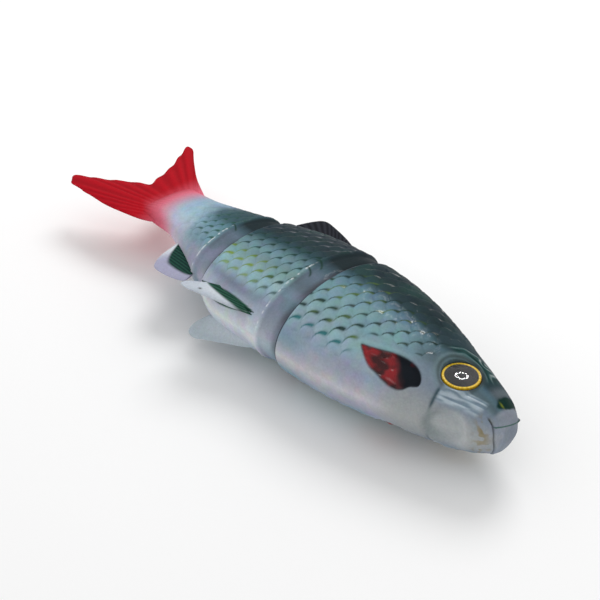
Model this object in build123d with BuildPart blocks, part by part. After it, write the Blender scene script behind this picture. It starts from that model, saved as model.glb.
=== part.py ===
"""A jointed soft swimbait in the form of a roach: three soft body sections on hard frames, hinged to each other.

Units are millimetres. The lure lies on its left flank: +X points to the snout, +Y to the back and +Z out of
the right flank, which faces up. The origin is the centre of the line tie's hole.
A station is a distance behind the snout, and a height is measured from the body's own axis.
"""

import math
import os

from build123d import *

# ---- body ----
body_length = 147.0  # snout to tail root
body_depth = 50.0
body_width = 33.4
snout_fillet = 2.0
# share of length, back height and belly depth as shares of the depth, half width as a share of the width
body_outline = (
    (0.000, 0.060, 0.100, 0.115),
    (0.008, 0.104, 0.148, 0.180),
    (0.027, 0.152, 0.186, 0.246),
    (0.068, 0.202, 0.232, 0.304),
    (0.136, 0.274, 0.302, 0.375),
    (0.218, 0.360, 0.376, 0.433),
    (0.313, 0.440, 0.444, 0.485),
    (0.408, 0.486, 0.486, 0.500),
    (0.517, 0.498, 0.506, 0.481),
    (0.626, 0.470, 0.504, 0.437),
    (0.735, 0.392, 0.430, 0.346),
    (0.844, 0.302, 0.302, 0.250),
    (0.939, 0.236, 0.212, 0.168),
    (1.000, 0.214, 0.210, 0.140),
)
snout_crowding = 1.7  # above 1 the head's sections crowd towards the snout, where its shape changes fastest
head_sections = 10
body_sections = 5
chisel_length = 9.0  # the tail section thins to a chisel that holds the tail fin
chisel_height = 11.4
chisel_half_thickness = 1.7

# ---- hinges between the sections ----
front_rim = 67.5  # station where the head ends
rear_rim = 106.5  # station where the middle ends
rim_gap = 7.5  # from a rim back to the ridge where the next section is full size again
neck_inset = 0.8
front_hinge_setback = 4.5  # hinge axis behind its rim
rear_hinge_setback = 4.0
socket_clearance = 0.5
ridge_fillet = 0.6
front_swing = 22.0  # degrees each way
rear_swing = 28.0
swing_margin = 3.0

# ---- hard frames inside the sections ----
frame_thickness = 3.0
frame_margin = 7.0  # soft cover between a frame and the back or belly
head_frame_start = 15.0
frame_end_cover = 3.0  # soft wall between a frame plate and the socket
tail_frame_cover = 11.0  # soft length between the tail frame and the tail root
tail_frame_margin = 5.0
window_length = 9.0
window_height = 7.0
tongue_height = 9.0
knuckle_radius = 3.0
ear_thickness = 2.6
ear_gap = 0.3  # above and below a knuckle
web_length = 4.0
slot_clearance = 0.4
pin_radius = 1.0
pin_running_clearance = 0.05
pin_proud = 0.6
pin_fillet = 0.45

# ---- line tie ----
line_tie_station = 22.0
line_tie_recess = 0.4  # hole centre below the back
line_tie_hole_radius = 1.0
line_tie_outer_radius = 1.8
line_tie_thickness = 1.2
line_tie_depth = 15.0  # hole centre to the foot of the shank
line_tie_relief_radius = 2.3
line_tie_rivet_depth = 12.0
line_tie_rivet_radius = 0.9
line_tie_rivet_head_radius = 1.6
line_tie_rivet_head = 0.6

# ---- belly weights ----
weight_cover = 4.5
head_weight_start = 28.0
head_weight_end = 52.0
head_weight_radius = 3.4
middle_weight_start = 79.0
middle_weight_end = 92.0
middle_weight_radius = 3.0
weight_fillet_share = 0.9

# ---- eyes ----
eye_station = 16.0
eye_height = -1.6
eye_radius = 5.6
eye_forward_tilt = 10.0
eye_upward_tilt = 6.0
eye_sink = 1.2
iris_thickness = 1.0
dome_height = 2.0
eye_seat_clearance = 0.1

# ---- fins ----
fin_thickness = 1.5
fin_root_depth = 3.0
dorsal_fin_start = 80.0
dorsal_fin_root = 21.0
dorsal_fin_length = 34.0
dorsal_fin_height = 12.4
pelvic_fin_start = 78.5
pelvic_fin_root = 15.0
pelvic_fin_length = 25.0
pelvic_fin_reach = 12.0
pelvic_fin_offset = 0.18 * body_width  # root to each side of the belly line
right_pelvic_splay = 22.0
left_pelvic_splay = 42.0
anal_fin_start = 114.6
anal_fin_root = 16.8
anal_fin_reach = 9.8
tail_fin_length = 40.0
tail_fin_upper_reach = 27.5
tail_fin_lower_reach = 17.5
tail_fin_upper_length = 31.0
tail_fin_fork = 19.5
tail_fin_root_thickness = 2.2
tail_fin_edge_thickness = 0.9
tail_fin_root_cover = 3.0  # how far the fin's root reaches into the tail section
tail_fin_root_share = 0.92  # of the tail root's height
tail_fin_fork_height = 2.6

# ---- relief of the head ----
mouth_height = -3.6
mouth_depth = 4.6
mouth_opening = 0.7
throat_dish_station = 11.3
throat_dish_radius = 6.0
throat_dish_depth = 2.4
gill_depth = 0.9
gill_station = 32.4
gill_height = -12.6
gill_length = 20.4
gill_width = 7.6


def outline_value(share, column):
    """One column of the body outline at a share of the length, on a smooth curve through its rows."""
    rows = body_outline
    inner = [k for k in range(len(rows) - 1) if rows[k][0] <= share]
    start = inner[-1] if inner else 0
    end = start + 1

    def slope(k):
        before = rows[max(k - 1, 0)]
        after = rows[min(k + 1, len(rows) - 1)]
        return (after[column] - before[column]) / (after[0] - before[0])

    span = rows[end][0] - rows[start][0]
    t = (share - rows[start][0]) / span
    from_start = (1 + 2 * t) * (1 - t) ** 2 * rows[start][column] + t * (1 - t) ** 2 * span * slope(start)
    from_end = t * t * (3 - 2 * t) * rows[end][column] + t * t * (t - 1) * span * slope(end)
    return from_start + from_end


def back(station):
    return body_depth * outline_value(station / body_length, 1)


def belly(station):
    return -body_depth * outline_value(station / body_length, 2)


def half_width(station):
    return body_width * outline_value(station / body_length, 3)


def mid_height(station):
    return (back(station) + belly(station)) / 2


def half_depth(station):
    return (back(station) - belly(station)) / 2


axis_y = line_tie_recess - back(line_tie_station)
front_hinge = front_rim + front_hinge_setback
rear_hinge = rear_rim + rear_hinge_setback
front_ridge = front_rim + rim_gap
rear_ridge = rear_rim + rim_gap


def x_at(station):
    return line_tie_station - station


def y_at(height):
    return axis_y + height


def level(height):
    """A plane across the lure at a height, facing the back."""
    return Plane(origin=(0, y_at(height), 0), x_dir=(1, 0, 0), z_dir=(0, 1, 0))


def cross_section(station, inset=0.0):
    """The body's elliptic section at a station, drawn on a plane that faces the snout."""
    with BuildSketch(Plane.YZ.offset(x_at(station))) as section:
        with Locations((y_at(mid_height(station)), 0)):
            Ellipse(half_depth(station) - inset, half_width(station) - inset)
    return section.sketch


def evenly(first, last, count):
    """Stations that divide a stretch of the body into equal parts, with both its ends."""
    return [first + (last - first) * k / count for k in range(round(count) + 1)]


def body_loft(stations, inset=0.0):
    with BuildPart() as lofted:
        for station in stations:
            add(cross_section(station, inset))
        loft()
    return lofted.part


def nose(ridge, hinge, growth=0.0):
    """The rounded front of a section: half a ball round the hinge axis, stretched to the depth of the neck."""
    depth = half_depth(ridge) - neck_inset + growth
    side = half_width(ridge) - neck_inset + growth
    with BuildPart() as rounded:
        Sphere(side)
        with Locations((-side, 0, 0)):
            Box(2 * side, 3 * side, 3 * side, mode=Mode.SUBTRACT)
        scale(by=(1, depth / side, 1))
    return Pos(x_at(hinge), y_at(mid_height(ridge)), 0) * rounded.part


def neck(ridge, hinge):
    """The straight stretch from the ridge forward to the hinge axis."""
    with BuildPart() as straight:
        add(cross_section(ridge, neck_inset))
        extrude(amount=ridge - hinge, dir=(1, 0, 0))
    return straight.part


def tongue_slot(hinge, ridge, swing):
    """The fan-shaped room in a nose that lets the tongue of the frame ahead swing."""
    reach = half_width(ridge) + socket_clearance
    spread = math.radians(swing + swing_margin)
    near = frame_thickness / 2 + slot_clearance
    far = near + reach * math.tan(spread)
    height = mid_height(ridge) - tongue_height / 2 - slot_clearance
    with BuildPart() as slot:
        with BuildSketch(level(height)):
            with BuildLine():
                Polyline(
                    (x_at(hinge), -near),
                    (x_at(hinge) + reach, -far),
                    (x_at(hinge) + reach, far),
                    (x_at(hinge), near),
                    close=True,
                )
            make_face()
            with Locations((x_at(hinge), 0)):
                Circle(knuckle_radius + slot_clearance)
        extrude(amount=tongue_height + 2 * slot_clearance)
    return slot.part


def frame_plate(first, last, margin, windows):
    """A flat plate that follows the body's outline, with windows that the soft body fills."""
    stations = evenly(first, last, 4)
    upper = [(x_at(s), y_at(back(s) - margin)) for s in stations]
    lower = [(x_at(s), y_at(belly(s) + margin)) for s in reversed(stations)]
    with BuildPart() as plate:
        with BuildSketch():
            with BuildLine():
                Polyline(*upper, *lower, close=True)
            make_face()
            with Locations(*[(x_at(s), y_at(h)) for s, h in windows]):
                SlotOverall(window_length, window_height / 2, mode=Mode.SUBTRACT)
        extrude(amount=frame_thickness / 2, both=True)
    return plate.part


def tongue(first, hinge, ridge):
    """The bar that leaves the back of a frame and ends in the bored knuckle of a hinge."""
    middle = mid_height(ridge)
    with BuildPart() as bar:
        with BuildSketch(level(middle - tongue_height / 2)):
            with Locations((x_at(hinge), 0)):
                Rectangle(hinge - first, frame_thickness, align=(Align.MIN, Align.CENTER))
                Circle(knuckle_radius)
                Circle(pin_radius + pin_running_clearance, mode=Mode.SUBTRACT)
        extrude(amount=tongue_height)
    return bar.part


def clevis(hinge, ridge):
    """Two bored ears above and below the knuckle, joined behind it by a web."""
    middle = mid_height(ridge)
    inner = tongue_height / 2 + ear_gap
    outer = inner + ear_thickness
    web_start = knuckle_radius + slot_clearance
    with BuildPart() as fork:
        with BuildSketch(level(middle - outer)):
            with Locations((x_at(hinge), 0)):
                Circle(knuckle_radius)
                Rectangle(web_start + web_length, 2 * knuckle_radius, align=(Align.MAX, Align.CENTER))
        extrude(amount=2 * outer)
        with BuildSketch(level(middle - inner)):
            with Locations((x_at(hinge), 0)):
                Circle(web_start)
                Rectangle(4 * web_start, 2 * web_start, align=(Align.MIN, Align.CENTER))
        extrude(amount=2 * inner, mode=Mode.SUBTRACT)
        with BuildSketch(level(middle - outer)):
            with Locations((x_at(hinge), 0)):
                Circle(pin_radius)
        extrude(amount=2 * outer, mode=Mode.SUBTRACT)
    return fork.part


def hinge_pin(hinge, ridge):
    """A round pin with domed ends, pressed into the ears."""
    half = tongue_height / 2 + ear_gap + ear_thickness + pin_proud
    with BuildPart() as pin:
        with BuildSketch(level(mid_height(ridge) - half)):
            with Locations((x_at(hinge), 0)):
                Circle(pin_radius)
        extrude(amount=2 * half)
        fillet(pin.edges().filter_by(GeomType.CIRCLE), pin_fillet)
    return pin.part


def belly_weight(first, last, radius):
    """A round-ended bar of metal that lies along the belly."""
    first_height = belly(first) + weight_cover + radius
    last_height = belly(last) + weight_cover + radius
    start = Vector(x_at(first), y_at(first_height), 0)
    end = Vector(x_at(last), y_at(last_height), 0)
    with BuildPart() as weight:
        with BuildSketch(Plane(origin=start, z_dir=end - start)):
            Circle(radius)
        extrude(amount=(end - start).length)
        fillet(weight.edges().filter_by(GeomType.CIRCLE), weight_fillet_share * radius)
    return weight.part


def eye_plane(side):
    """The plane of an eye's back, facing out of the flank. side is 1 for the right flank and -1 for the left."""
    forward = math.sin(math.radians(eye_forward_tilt))
    upward = math.sin(math.radians(eye_upward_tilt))
    outward = side * math.sqrt(1 - forward**2 - upward**2)
    rise = (eye_height - mid_height(eye_station)) / half_depth(eye_station)
    surface = half_width(eye_station) * math.sqrt(1 - rise**2)
    normal = Vector(forward, upward, outward)
    centre = Vector(x_at(eye_station), y_at(eye_height), side * surface)
    return Plane(origin=centre - normal * (eye_sink + iris_thickness), z_dir=normal)


def iris(side):
    with BuildPart() as disc:
        with BuildSketch(eye_plane(side)):
            Circle(eye_radius)
        extrude(amount=iris_thickness)
    return disc.part


def dome(side):
    """A clear cap that lies on the iris."""
    ball_radius = (eye_radius**2 + dome_height**2) / (2 * dome_height)
    with BuildPart() as cap:
        with BuildSketch(Plane.XZ):
            with Locations((0, iris_thickness + dome_height - ball_radius)):
                Circle(ball_radius)
            with Locations((0, iris_thickness)):
                Rectangle(3 * ball_radius, 3 * ball_radius, align=(Align.CENTER, Align.MAX), mode=Mode.SUBTRACT)
            Rectangle(2 * ball_radius, 4 * ball_radius, align=(Align.MAX, Align.CENTER), mode=Mode.SUBTRACT)
        revolve(axis=Axis.Z)
    return eye_plane(side).from_local_coords(cap.part)


def eye_seat(side):
    with BuildPart() as seat:
        with BuildSketch(eye_plane(side)):
            Circle(eye_radius + eye_seat_clearance)
        extrude(amount=iris_thickness + dome_height + 2 * eye_sink)
    return seat.part


def fin_from_outline(plane, points, root, root_depth, thickness):
    """A flat fin: a curved free edge over a straight root that continues down into the body."""
    with BuildPart() as fin:
        with BuildSketch(plane):
            with BuildLine():
                Spline(*points)
                Polyline(points[-1], (root, -root_depth), (0, -root_depth), points[0])
            make_face()
        extrude(amount=thickness / 2, both=True)
    return fin.part


def dorsal_fin_shape():
    length, height = dorsal_fin_length, dorsal_fin_height
    first = dorsal_fin_start
    last = first + dorsal_fin_root
    slope = math.atan2(back(last) - back(first), -(last - first))
    root_plane = Plane(
        origin=(x_at(first), y_at(back(first)), 0),
        x_dir=(math.cos(slope), math.sin(slope), 0),
        z_dir=(0, 0, -1),
    )
    edge = [
        (0, 0),
        (0.30 * length, 0.50 * height),
        (0.62 * length, 0.84 * height),
        (0.86 * length, height),
        (0.97 * length, 0.70 * height),
        (length, 0.30 * height),
        (0.82 * length, 0.14 * height),
        (dorsal_fin_root, 0),
    ]
    return fin_from_outline(root_plane, edge, dorsal_fin_root, fin_root_depth, fin_thickness)


def pelvic_fin_shape(side, splay):
    length, reach = pelvic_fin_length, pelvic_fin_reach
    first = pelvic_fin_start
    drop = math.radians(splay)
    share = pelvic_fin_offset / half_width(first)
    height = mid_height(first) - half_depth(first) * math.sqrt(1 - share**2)
    outward = Vector(0, -math.cos(drop), side * math.sin(drop))
    backward = Vector(-1, 0, 0)
    root_plane = Plane(
        origin=(x_at(first), y_at(height), side * pelvic_fin_offset),
        x_dir=backward,
        z_dir=backward.cross(outward),
    )
    edge = [
        (0, 0),
        (0.45 * length, 0.62 * reach),
        (0.86 * length, reach),
        (length, 0.80 * reach),
        (0.92 * length, 0.45 * reach),
        (pelvic_fin_root, 0),
    ]
    return fin_from_outline(root_plane, edge, pelvic_fin_root, fin_root_depth, fin_thickness)


def anal_fin_shape():
    length, reach = anal_fin_root, anal_fin_reach
    first = anal_fin_start
    last = first + anal_fin_root
    slope = math.atan2(belly(last) - belly(first), -(last - first))
    root_plane = Plane(
        origin=(x_at(first), y_at(belly(first)), 0),
        x_dir=(math.cos(slope), math.sin(slope), 0),
        z_dir=(0, 0, 1),
    )
    edge = [
        (0, 0),
        (-0.16 * length, 0.39 * reach),
        (0, 0.68 * reach),
        (0.26 * length, 0.95 * reach),
        (0.47 * length, reach),
        (0.70 * length, 0.76 * reach),
        (0.90 * length, 0.34 * reach),
        (length, 0),
    ]
    return fin_from_outline(root_plane, edge, anal_fin_root, fin_root_depth, fin_thickness)


def tail_fin_shape():
    """A forked tail with a longer lower lobe, thinning from its root to its edge."""
    root_height = back(body_length) * tail_fin_root_share
    root_start = body_length - tail_fin_root_cover
    chisel_end = body_length + chisel_length
    upper_tip = body_length + tail_fin_upper_length
    lower_tip = body_length + tail_fin_length
    fork = body_length + tail_fin_fork
    with BuildPart() as fin:
        with BuildSketch():
            with BuildLine():
                Line((x_at(root_start), y_at(-root_height)), (x_at(root_start), y_at(root_height)))
                Spline(
                    (x_at(root_start), y_at(root_height)),
                    (x_at(body_length + 0.35 * tail_fin_upper_length), y_at(0.585 * tail_fin_upper_reach)),
                    (x_at(upper_tip), y_at(tail_fin_upper_reach)),
                )
                Spline(
                    (x_at(upper_tip), y_at(tail_fin_upper_reach)),
                    (x_at(body_length + 0.81 * tail_fin_upper_length), y_at(0.62 * tail_fin_upper_reach)),
                    (x_at(fork), y_at(tail_fin_fork_height)),
                    (x_at(body_length + 0.675 * tail_fin_length), y_at(-0.18 * tail_fin_lower_reach)),
                    (x_at(lower_tip), y_at(-0.8 * tail_fin_lower_reach)),
                )
                Spline(
                    (x_at(lower_tip), y_at(-0.8 * tail_fin_lower_reach)),
                    (x_at(body_length + 0.9 * tail_fin_length), y_at(-tail_fin_lower_reach)),
                    (x_at(body_length + 0.45 * tail_fin_length), y_at(-0.98 * tail_fin_lower_reach)),
                    (x_at(root_start), y_at(-root_height)),
                )
            make_face()
        extrude(amount=tail_fin_root_thickness / 2, both=True)
        with BuildSketch(level(2 * tail_fin_upper_reach)):
            with BuildLine():
                Polyline(
                    (x_at(root_start), -tail_fin_root_thickness / 2),
                    (x_at(chisel_end), -tail_fin_root_thickness / 2),
                    (x_at(lower_tip), -tail_fin_edge_thickness / 2),
                    (x_at(lower_tip), tail_fin_edge_thickness / 2),
                    (x_at(chisel_end), tail_fin_root_thickness / 2),
                    (x_at(root_start), tail_fin_root_thickness / 2),
                    close=True,
                )
            make_face()
        extrude(amount=-4 * tail_fin_upper_reach, mode=Mode.INTERSECT)
    return fin.part


def gill_recess(side):
    """A shallow leaf-shaped recess let into the skin behind the eye."""
    leaf = [(-0.50, -0.20), (-0.24, 0.12), (0.02, 0.40), (0.30, 0.50), (0.50, 0.14), (0.26, -0.36), (-0.10, -0.50)]
    edge = [(x_at(gill_station) + u * gill_length, y_at(gill_height) + v * gill_width) for u, v in leaf]
    skin_start = gill_station - gill_length
    skin_end = gill_station + gill_length
    with BuildPart() as recess:
        with BuildSketch():
            with BuildLine():
                Spline(*edge, periodic=True)
            make_face()
        extrude(amount=side * body_width)
        add(body_loft(evenly(skin_start, skin_end, 5), gill_depth), mode=Mode.SUBTRACT)
    return recess.part


def throat_dish():
    """A ball that hollows a round dish under the throat."""
    ball_radius = (throat_dish_radius**2 + throat_dish_depth**2) / (2 * throat_dish_depth)
    slope = math.atan(belly(throat_dish_station - 1) - belly(throat_dish_station))
    below = ball_radius - throat_dish_depth
    x = x_at(throat_dish_station) + below * math.sin(slope)
    y = y_at(belly(throat_dish_station)) - below * math.cos(slope)
    with BuildPart() as ball:
        with Locations((x, y, 0)):
            Sphere(ball_radius)
    return ball.part


def mouth_slit():
    with BuildPart() as slit:
        with Locations((x_at(0), y_at(mouth_height), 0)):
            Box(2 * mouth_depth, mouth_opening, body_width)
    return slit.part


def line_tie_plate():
    """A stamped eye with a shank that reaches down into the head frame."""
    with BuildPart() as plate:
        with BuildSketch():
            Circle(line_tie_outer_radius)
            Rectangle(2 * line_tie_outer_radius, line_tie_depth, align=(Align.CENTER, Align.MAX))
            Circle(line_tie_hole_radius, mode=Mode.SUBTRACT)
            with Locations((0, -line_tie_rivet_depth)):
                Circle(line_tie_rivet_radius, mode=Mode.SUBTRACT)
        extrude(amount=line_tie_thickness / 2, both=True)
    return plate.part


def line_tie_rivet_shape():
    """A rivet through the frame and the shank, with a flat head on each side."""
    half = frame_thickness / 2
    with BuildPart() as rivet:
        with BuildSketch(Plane.XY.offset(-half)):
            with Locations((0, -line_tie_rivet_depth)):
                Circle(line_tie_rivet_radius)
        extrude(amount=2 * half)
        for start, reach in ((half, line_tie_rivet_head), (-half, -line_tie_rivet_head)):
            with BuildSketch(Plane.XY.offset(start)):
                with Locations((0, -line_tie_rivet_depth)):
                    Circle(line_tie_rivet_head_radius)
            extrude(amount=reach)
    return rivet.part


def line_tie_relief():
    """The groove across the back that a snap swings in."""
    with BuildPart() as relief:
        with BuildSketch():
            Circle(line_tie_relief_radius)
        extrude(amount=body_width / 2, both=True)
    return relief.part


def socket_reach(ridge):
    """How far a socket's hollow runs forward of its hinge axis."""
    return half_width(ridge) - neck_inset + socket_clearance


def finish(piece, name):
    piece.part.label = name
    export_step(piece.part, f"parts/{name}.step")


os.makedirs("parts", exist_ok=True)

# ---- line tie ----
with BuildPart() as line_tie:
    add(line_tie_plate())

with BuildPart() as line_tie_rivet:
    add(line_tie_rivet_shape())

# ---- weights ----
with BuildPart() as head_weight:
    add(belly_weight(head_weight_start, head_weight_end, head_weight_radius))

with BuildPart() as middle_weight:
    add(belly_weight(middle_weight_start, middle_weight_end, middle_weight_radius))

# ---- frames and hinges ----
head_frame_end = front_hinge - socket_reach(front_ridge) - frame_end_cover
middle_frame_start = front_hinge + knuckle_radius + slot_clearance + web_length / 2
middle_frame_end = rear_hinge - socket_reach(rear_ridge) - frame_end_cover
tail_frame_start = rear_hinge + knuckle_radius + slot_clearance + web_length / 2

with BuildPart() as head_frame:
    head_windows = [
        (head_frame_end - 0.8 * window_length, mid_height(head_frame_end) + 1.4 * window_height),
        (head_frame_end - 0.8 * window_length, mid_height(head_frame_end) - 1.4 * window_height),
        (head_frame_end - 2.1 * window_length, mid_height(head_frame_end)),
    ]
    add(frame_plate(head_frame_start, head_frame_end, frame_margin, head_windows))
    add(tongue(head_frame_end - 1, front_hinge, front_ridge))
    for seated in (line_tie, line_tie_rivet, head_weight):
        add(seated.part, mode=Mode.SUBTRACT)

with BuildPart() as middle_frame:
    middle_windows = [
        (middle_frame_start + 1.1 * window_length, mid_height(middle_frame_start) + window_height),
        (middle_frame_start + 1.1 * window_length, mid_height(middle_frame_start) - window_height),
    ]
    add(frame_plate(middle_frame_start, middle_frame_end, frame_margin, middle_windows))
    add(clevis(front_hinge, front_ridge))
    add(tongue(middle_frame_end - 1, rear_hinge, rear_ridge))
    add(middle_weight.part, mode=Mode.SUBTRACT)

with BuildPart() as tail_frame:
    tail_windows = [(tail_frame_start + 1.2 * window_length, mid_height(tail_frame_start + window_length))]
    add(frame_plate(tail_frame_start, body_length - tail_frame_cover, tail_frame_margin, tail_windows))
    add(clevis(rear_hinge, rear_ridge))

with BuildPart() as front_hinge_pin:
    add(hinge_pin(front_hinge, front_ridge))

with BuildPart() as rear_hinge_pin:
    add(hinge_pin(rear_hinge, rear_ridge))

# ---- eyes ----
with BuildPart() as right_eye_iris:
    add(iris(1))

with BuildPart() as right_eye_dome:
    add(dome(1))

with BuildPart() as left_eye_iris:
    add(iris(-1))

with BuildPart() as left_eye_dome:
    add(dome(-1))

# ---- fins ----
with BuildPart() as dorsal_fin:
    add(dorsal_fin_shape())

with BuildPart() as right_pelvic_fin:
    add(pelvic_fin_shape(1, right_pelvic_splay))

with BuildPart() as left_pelvic_fin:
    add(pelvic_fin_shape(-1, left_pelvic_splay))

with BuildPart() as anal_fin:
    add(anal_fin_shape())

with BuildPart() as tail_fin:
    add(tail_fin_shape())

# ---- soft sections ----
with BuildPart() as head_body:
    add(body_loft([front_rim * share**snout_crowding for share in evenly(0, 1, head_sections)]))
    fillet(head_body.faces().sort_by(Axis.X)[-1].edges(), snout_fillet)
    add(nose(front_ridge, front_hinge, socket_clearance), mode=Mode.SUBTRACT)
    add(line_tie_relief(), mode=Mode.SUBTRACT)
    add(mouth_slit(), mode=Mode.SUBTRACT)
    add(throat_dish(), mode=Mode.SUBTRACT)
    for side in (1, -1):
        add(eye_seat(side), mode=Mode.SUBTRACT)
        add(gill_recess(side), mode=Mode.SUBTRACT)
    for inner in (head_frame, line_tie, line_tie_rivet, head_weight):
        add(inner.part, mode=Mode.SUBTRACT)

with BuildPart() as middle_body:
    add(body_loft(evenly(front_ridge, rear_rim, body_sections)))
    fillet(middle_body.faces().sort_by(Axis.X)[-1].edges(), ridge_fillet)
    add(neck(front_ridge, front_hinge))
    add(nose(front_ridge, front_hinge))
    add(nose(rear_ridge, rear_hinge, socket_clearance), mode=Mode.SUBTRACT)
    add(tongue_slot(front_hinge, front_ridge, front_swing), mode=Mode.SUBTRACT)
    for inner in (middle_frame, front_hinge_pin, middle_weight, dorsal_fin, right_pelvic_fin, left_pelvic_fin):
        add(inner.part, mode=Mode.SUBTRACT)

with BuildPart() as tail_body:
    for station in evenly(rear_ridge, body_length, body_sections):
        add(cross_section(station))
    with BuildSketch(Plane.YZ.offset(x_at(body_length + chisel_length))):
        with Locations((y_at(mid_height(body_length)), 0)):
            Ellipse(chisel_height, chisel_half_thickness)
    loft()
    fillet(tail_body.faces().sort_by(Axis.X)[-1].edges(), ridge_fillet)
    add(neck(rear_ridge, rear_hinge))
    add(nose(rear_ridge, rear_hinge))
    add(tongue_slot(rear_hinge, rear_ridge, rear_swing), mode=Mode.SUBTRACT)
    for inner in (tail_frame, rear_hinge_pin, anal_fin, tail_fin):
        add(inner.part, mode=Mode.SUBTRACT)

finish(head_body, "head_body")
finish(head_frame, "head_frame")
finish(line_tie, "line_tie")
finish(line_tie_rivet, "line_tie_rivet")
finish(head_weight, "head_weight")
finish(right_eye_iris, "right_eye_iris")
finish(right_eye_dome, "right_eye_dome")
finish(left_eye_iris, "left_eye_iris")
finish(left_eye_dome, "left_eye_dome")
finish(middle_body, "middle_body")
finish(middle_frame, "middle_frame")
finish(front_hinge_pin, "front_hinge_pin")
finish(middle_weight, "middle_weight")
finish(dorsal_fin, "dorsal_fin")
finish(right_pelvic_fin, "right_pelvic_fin")
finish(left_pelvic_fin, "left_pelvic_fin")
finish(tail_body, "tail_body")
finish(tail_frame, "tail_frame")
finish(rear_hinge_pin, "rear_hinge_pin")
finish(anal_fin, "anal_fin")
finish(tail_fin, "tail_fin")
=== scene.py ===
"""Looks for a jointed soft swimbait in the form of a roach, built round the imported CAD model.

Lengths are worked out in millimetres and become metres when a mesh is made. A station is a distance behind
the snout, and a height is measured from the body's own axis. A share is a part of the way round the girth,
from the back (0) to the belly (1), the same on both flanks.
"""

import math

import bpy
import numpy as np
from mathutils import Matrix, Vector


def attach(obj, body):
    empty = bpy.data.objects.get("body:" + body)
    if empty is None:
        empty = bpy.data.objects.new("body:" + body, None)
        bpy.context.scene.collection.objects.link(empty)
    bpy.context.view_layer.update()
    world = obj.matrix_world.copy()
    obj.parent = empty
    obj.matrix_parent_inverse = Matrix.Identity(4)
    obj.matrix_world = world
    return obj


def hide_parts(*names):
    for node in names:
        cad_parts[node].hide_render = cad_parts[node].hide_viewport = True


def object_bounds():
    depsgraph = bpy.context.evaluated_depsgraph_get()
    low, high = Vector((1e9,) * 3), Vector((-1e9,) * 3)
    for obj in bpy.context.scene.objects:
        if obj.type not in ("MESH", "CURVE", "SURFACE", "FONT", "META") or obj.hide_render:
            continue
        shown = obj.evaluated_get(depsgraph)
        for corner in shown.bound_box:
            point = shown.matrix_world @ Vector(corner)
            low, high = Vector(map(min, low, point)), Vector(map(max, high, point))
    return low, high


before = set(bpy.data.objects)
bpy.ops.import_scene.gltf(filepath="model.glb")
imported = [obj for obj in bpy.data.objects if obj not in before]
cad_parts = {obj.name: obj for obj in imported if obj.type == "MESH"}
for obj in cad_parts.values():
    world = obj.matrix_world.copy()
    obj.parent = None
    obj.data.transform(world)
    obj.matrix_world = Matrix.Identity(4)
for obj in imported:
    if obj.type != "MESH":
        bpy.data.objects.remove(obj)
cad_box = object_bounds()

MM = 0.001
BODY_LENGTH, BODY_DEPTH, BODY_WIDTH = 147.0, 50.0, 33.4
# share of length, back height and belly depth as shares of the depth, half width as a share of the width
OUTLINE = np.array([
    (0.000, 0.094, 0.140, 0.168),
    (0.027, 0.152, 0.186, 0.246),
    (0.068, 0.202, 0.232, 0.304),
    (0.136, 0.274, 0.302, 0.375),
    (0.218, 0.360, 0.376, 0.433),
    (0.313, 0.440, 0.444, 0.485),
    (0.408, 0.486, 0.486, 0.500),
    (0.517, 0.498, 0.506, 0.481),
    (0.626, 0.470, 0.504, 0.437),
    (0.735, 0.392, 0.430, 0.346),
    (0.844, 0.302, 0.302, 0.250),
    (0.939, 0.236, 0.212, 0.168),
    (1.000, 0.214, 0.210, 0.140),
])
LINE_TIE_STATION, LINE_TIE_RECESS = 22.0, 0.4
FRONT_RIM, REAR_RIM, RIM_GAP = 67.5, 106.5, 7.5
NECK_INSET, SOCKET_CLEARANCE, SOCKET_STEPS = 0.8, 0.5, 16
FRONT_HINGE, REAR_HINGE = 72.0, 110.5
FRONT_RIDGE, REAR_RIDGE = FRONT_RIM + RIM_GAP, REAR_RIM + RIM_GAP
FLANK_START, FLANK_END = 1.1, 0.8  # how far behind a ridge and ahead of a rim the plain flanks run
TURNS = 400  # points round a ring
HALF_GIRTH = 58.0  # from the back to the belly, along the skin of the middle
FAR = 1e9  # farther than anything on the lure


# ---- numbers ----
def outline(station, column):
    """One column of the outline at stations, on a smooth curve through its rows."""
    share = np.clip(np.asarray(station, float) / BODY_LENGTH, 0, 1)
    x, y = OUTLINE[:, 0], OUTLINE[:, column]
    before = np.r_[0, np.arange(len(x) - 1)]
    after = np.r_[np.arange(1, len(x)), len(x) - 1]
    slope = (y[after] - y[before]) / (x[after] - x[before])
    k = np.clip(np.searchsorted(x, share, side="right") - 1, 0, len(x) - 2)
    span = x[k + 1] - x[k]
    t = (share - x[k]) / span
    first = (1 + 2 * t) * (1 - t) ** 2 * y[k] + t * (1 - t) ** 2 * span * slope[k]
    return first + t * t * (3 - 2 * t) * y[k + 1] + t * t * (t - 1) * span * slope[k + 1]


def back(station):
    return BODY_DEPTH * outline(station, 1)


def belly(station):
    return -BODY_DEPTH * outline(station, 2)


def half_width(station):
    return BODY_WIDTH * outline(station, 3)


def mid_height(station):
    return (back(station) + belly(station)) / 2


def half_depth(station):
    return (back(station) - belly(station)) / 2


AXIS_Y = LINE_TIE_RECESS - float(back(LINE_TIE_STATION))


def ramp(x, low, high):
    """0 below low, 1 above high, smooth between them."""
    t = np.clip((np.asarray(x, float) - low) / (high - low), 0, 1)
    return t * t * (3 - 2 * t)


def fall(x, low, high):
    """1 below low, 0 above high, smooth between them."""
    return 1 - ramp(x, low, high)


def hill(x, centre, width):
    """1 at the centre, and down to about a third at a width from it."""
    return np.exp(-(((x - centre) / width) ** 2))


def wave(turns):
    """Even ripples from 0 to 1, one to each turn."""
    return 0.5 + 0.5 * np.cos(2 * math.pi * turns)


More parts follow.
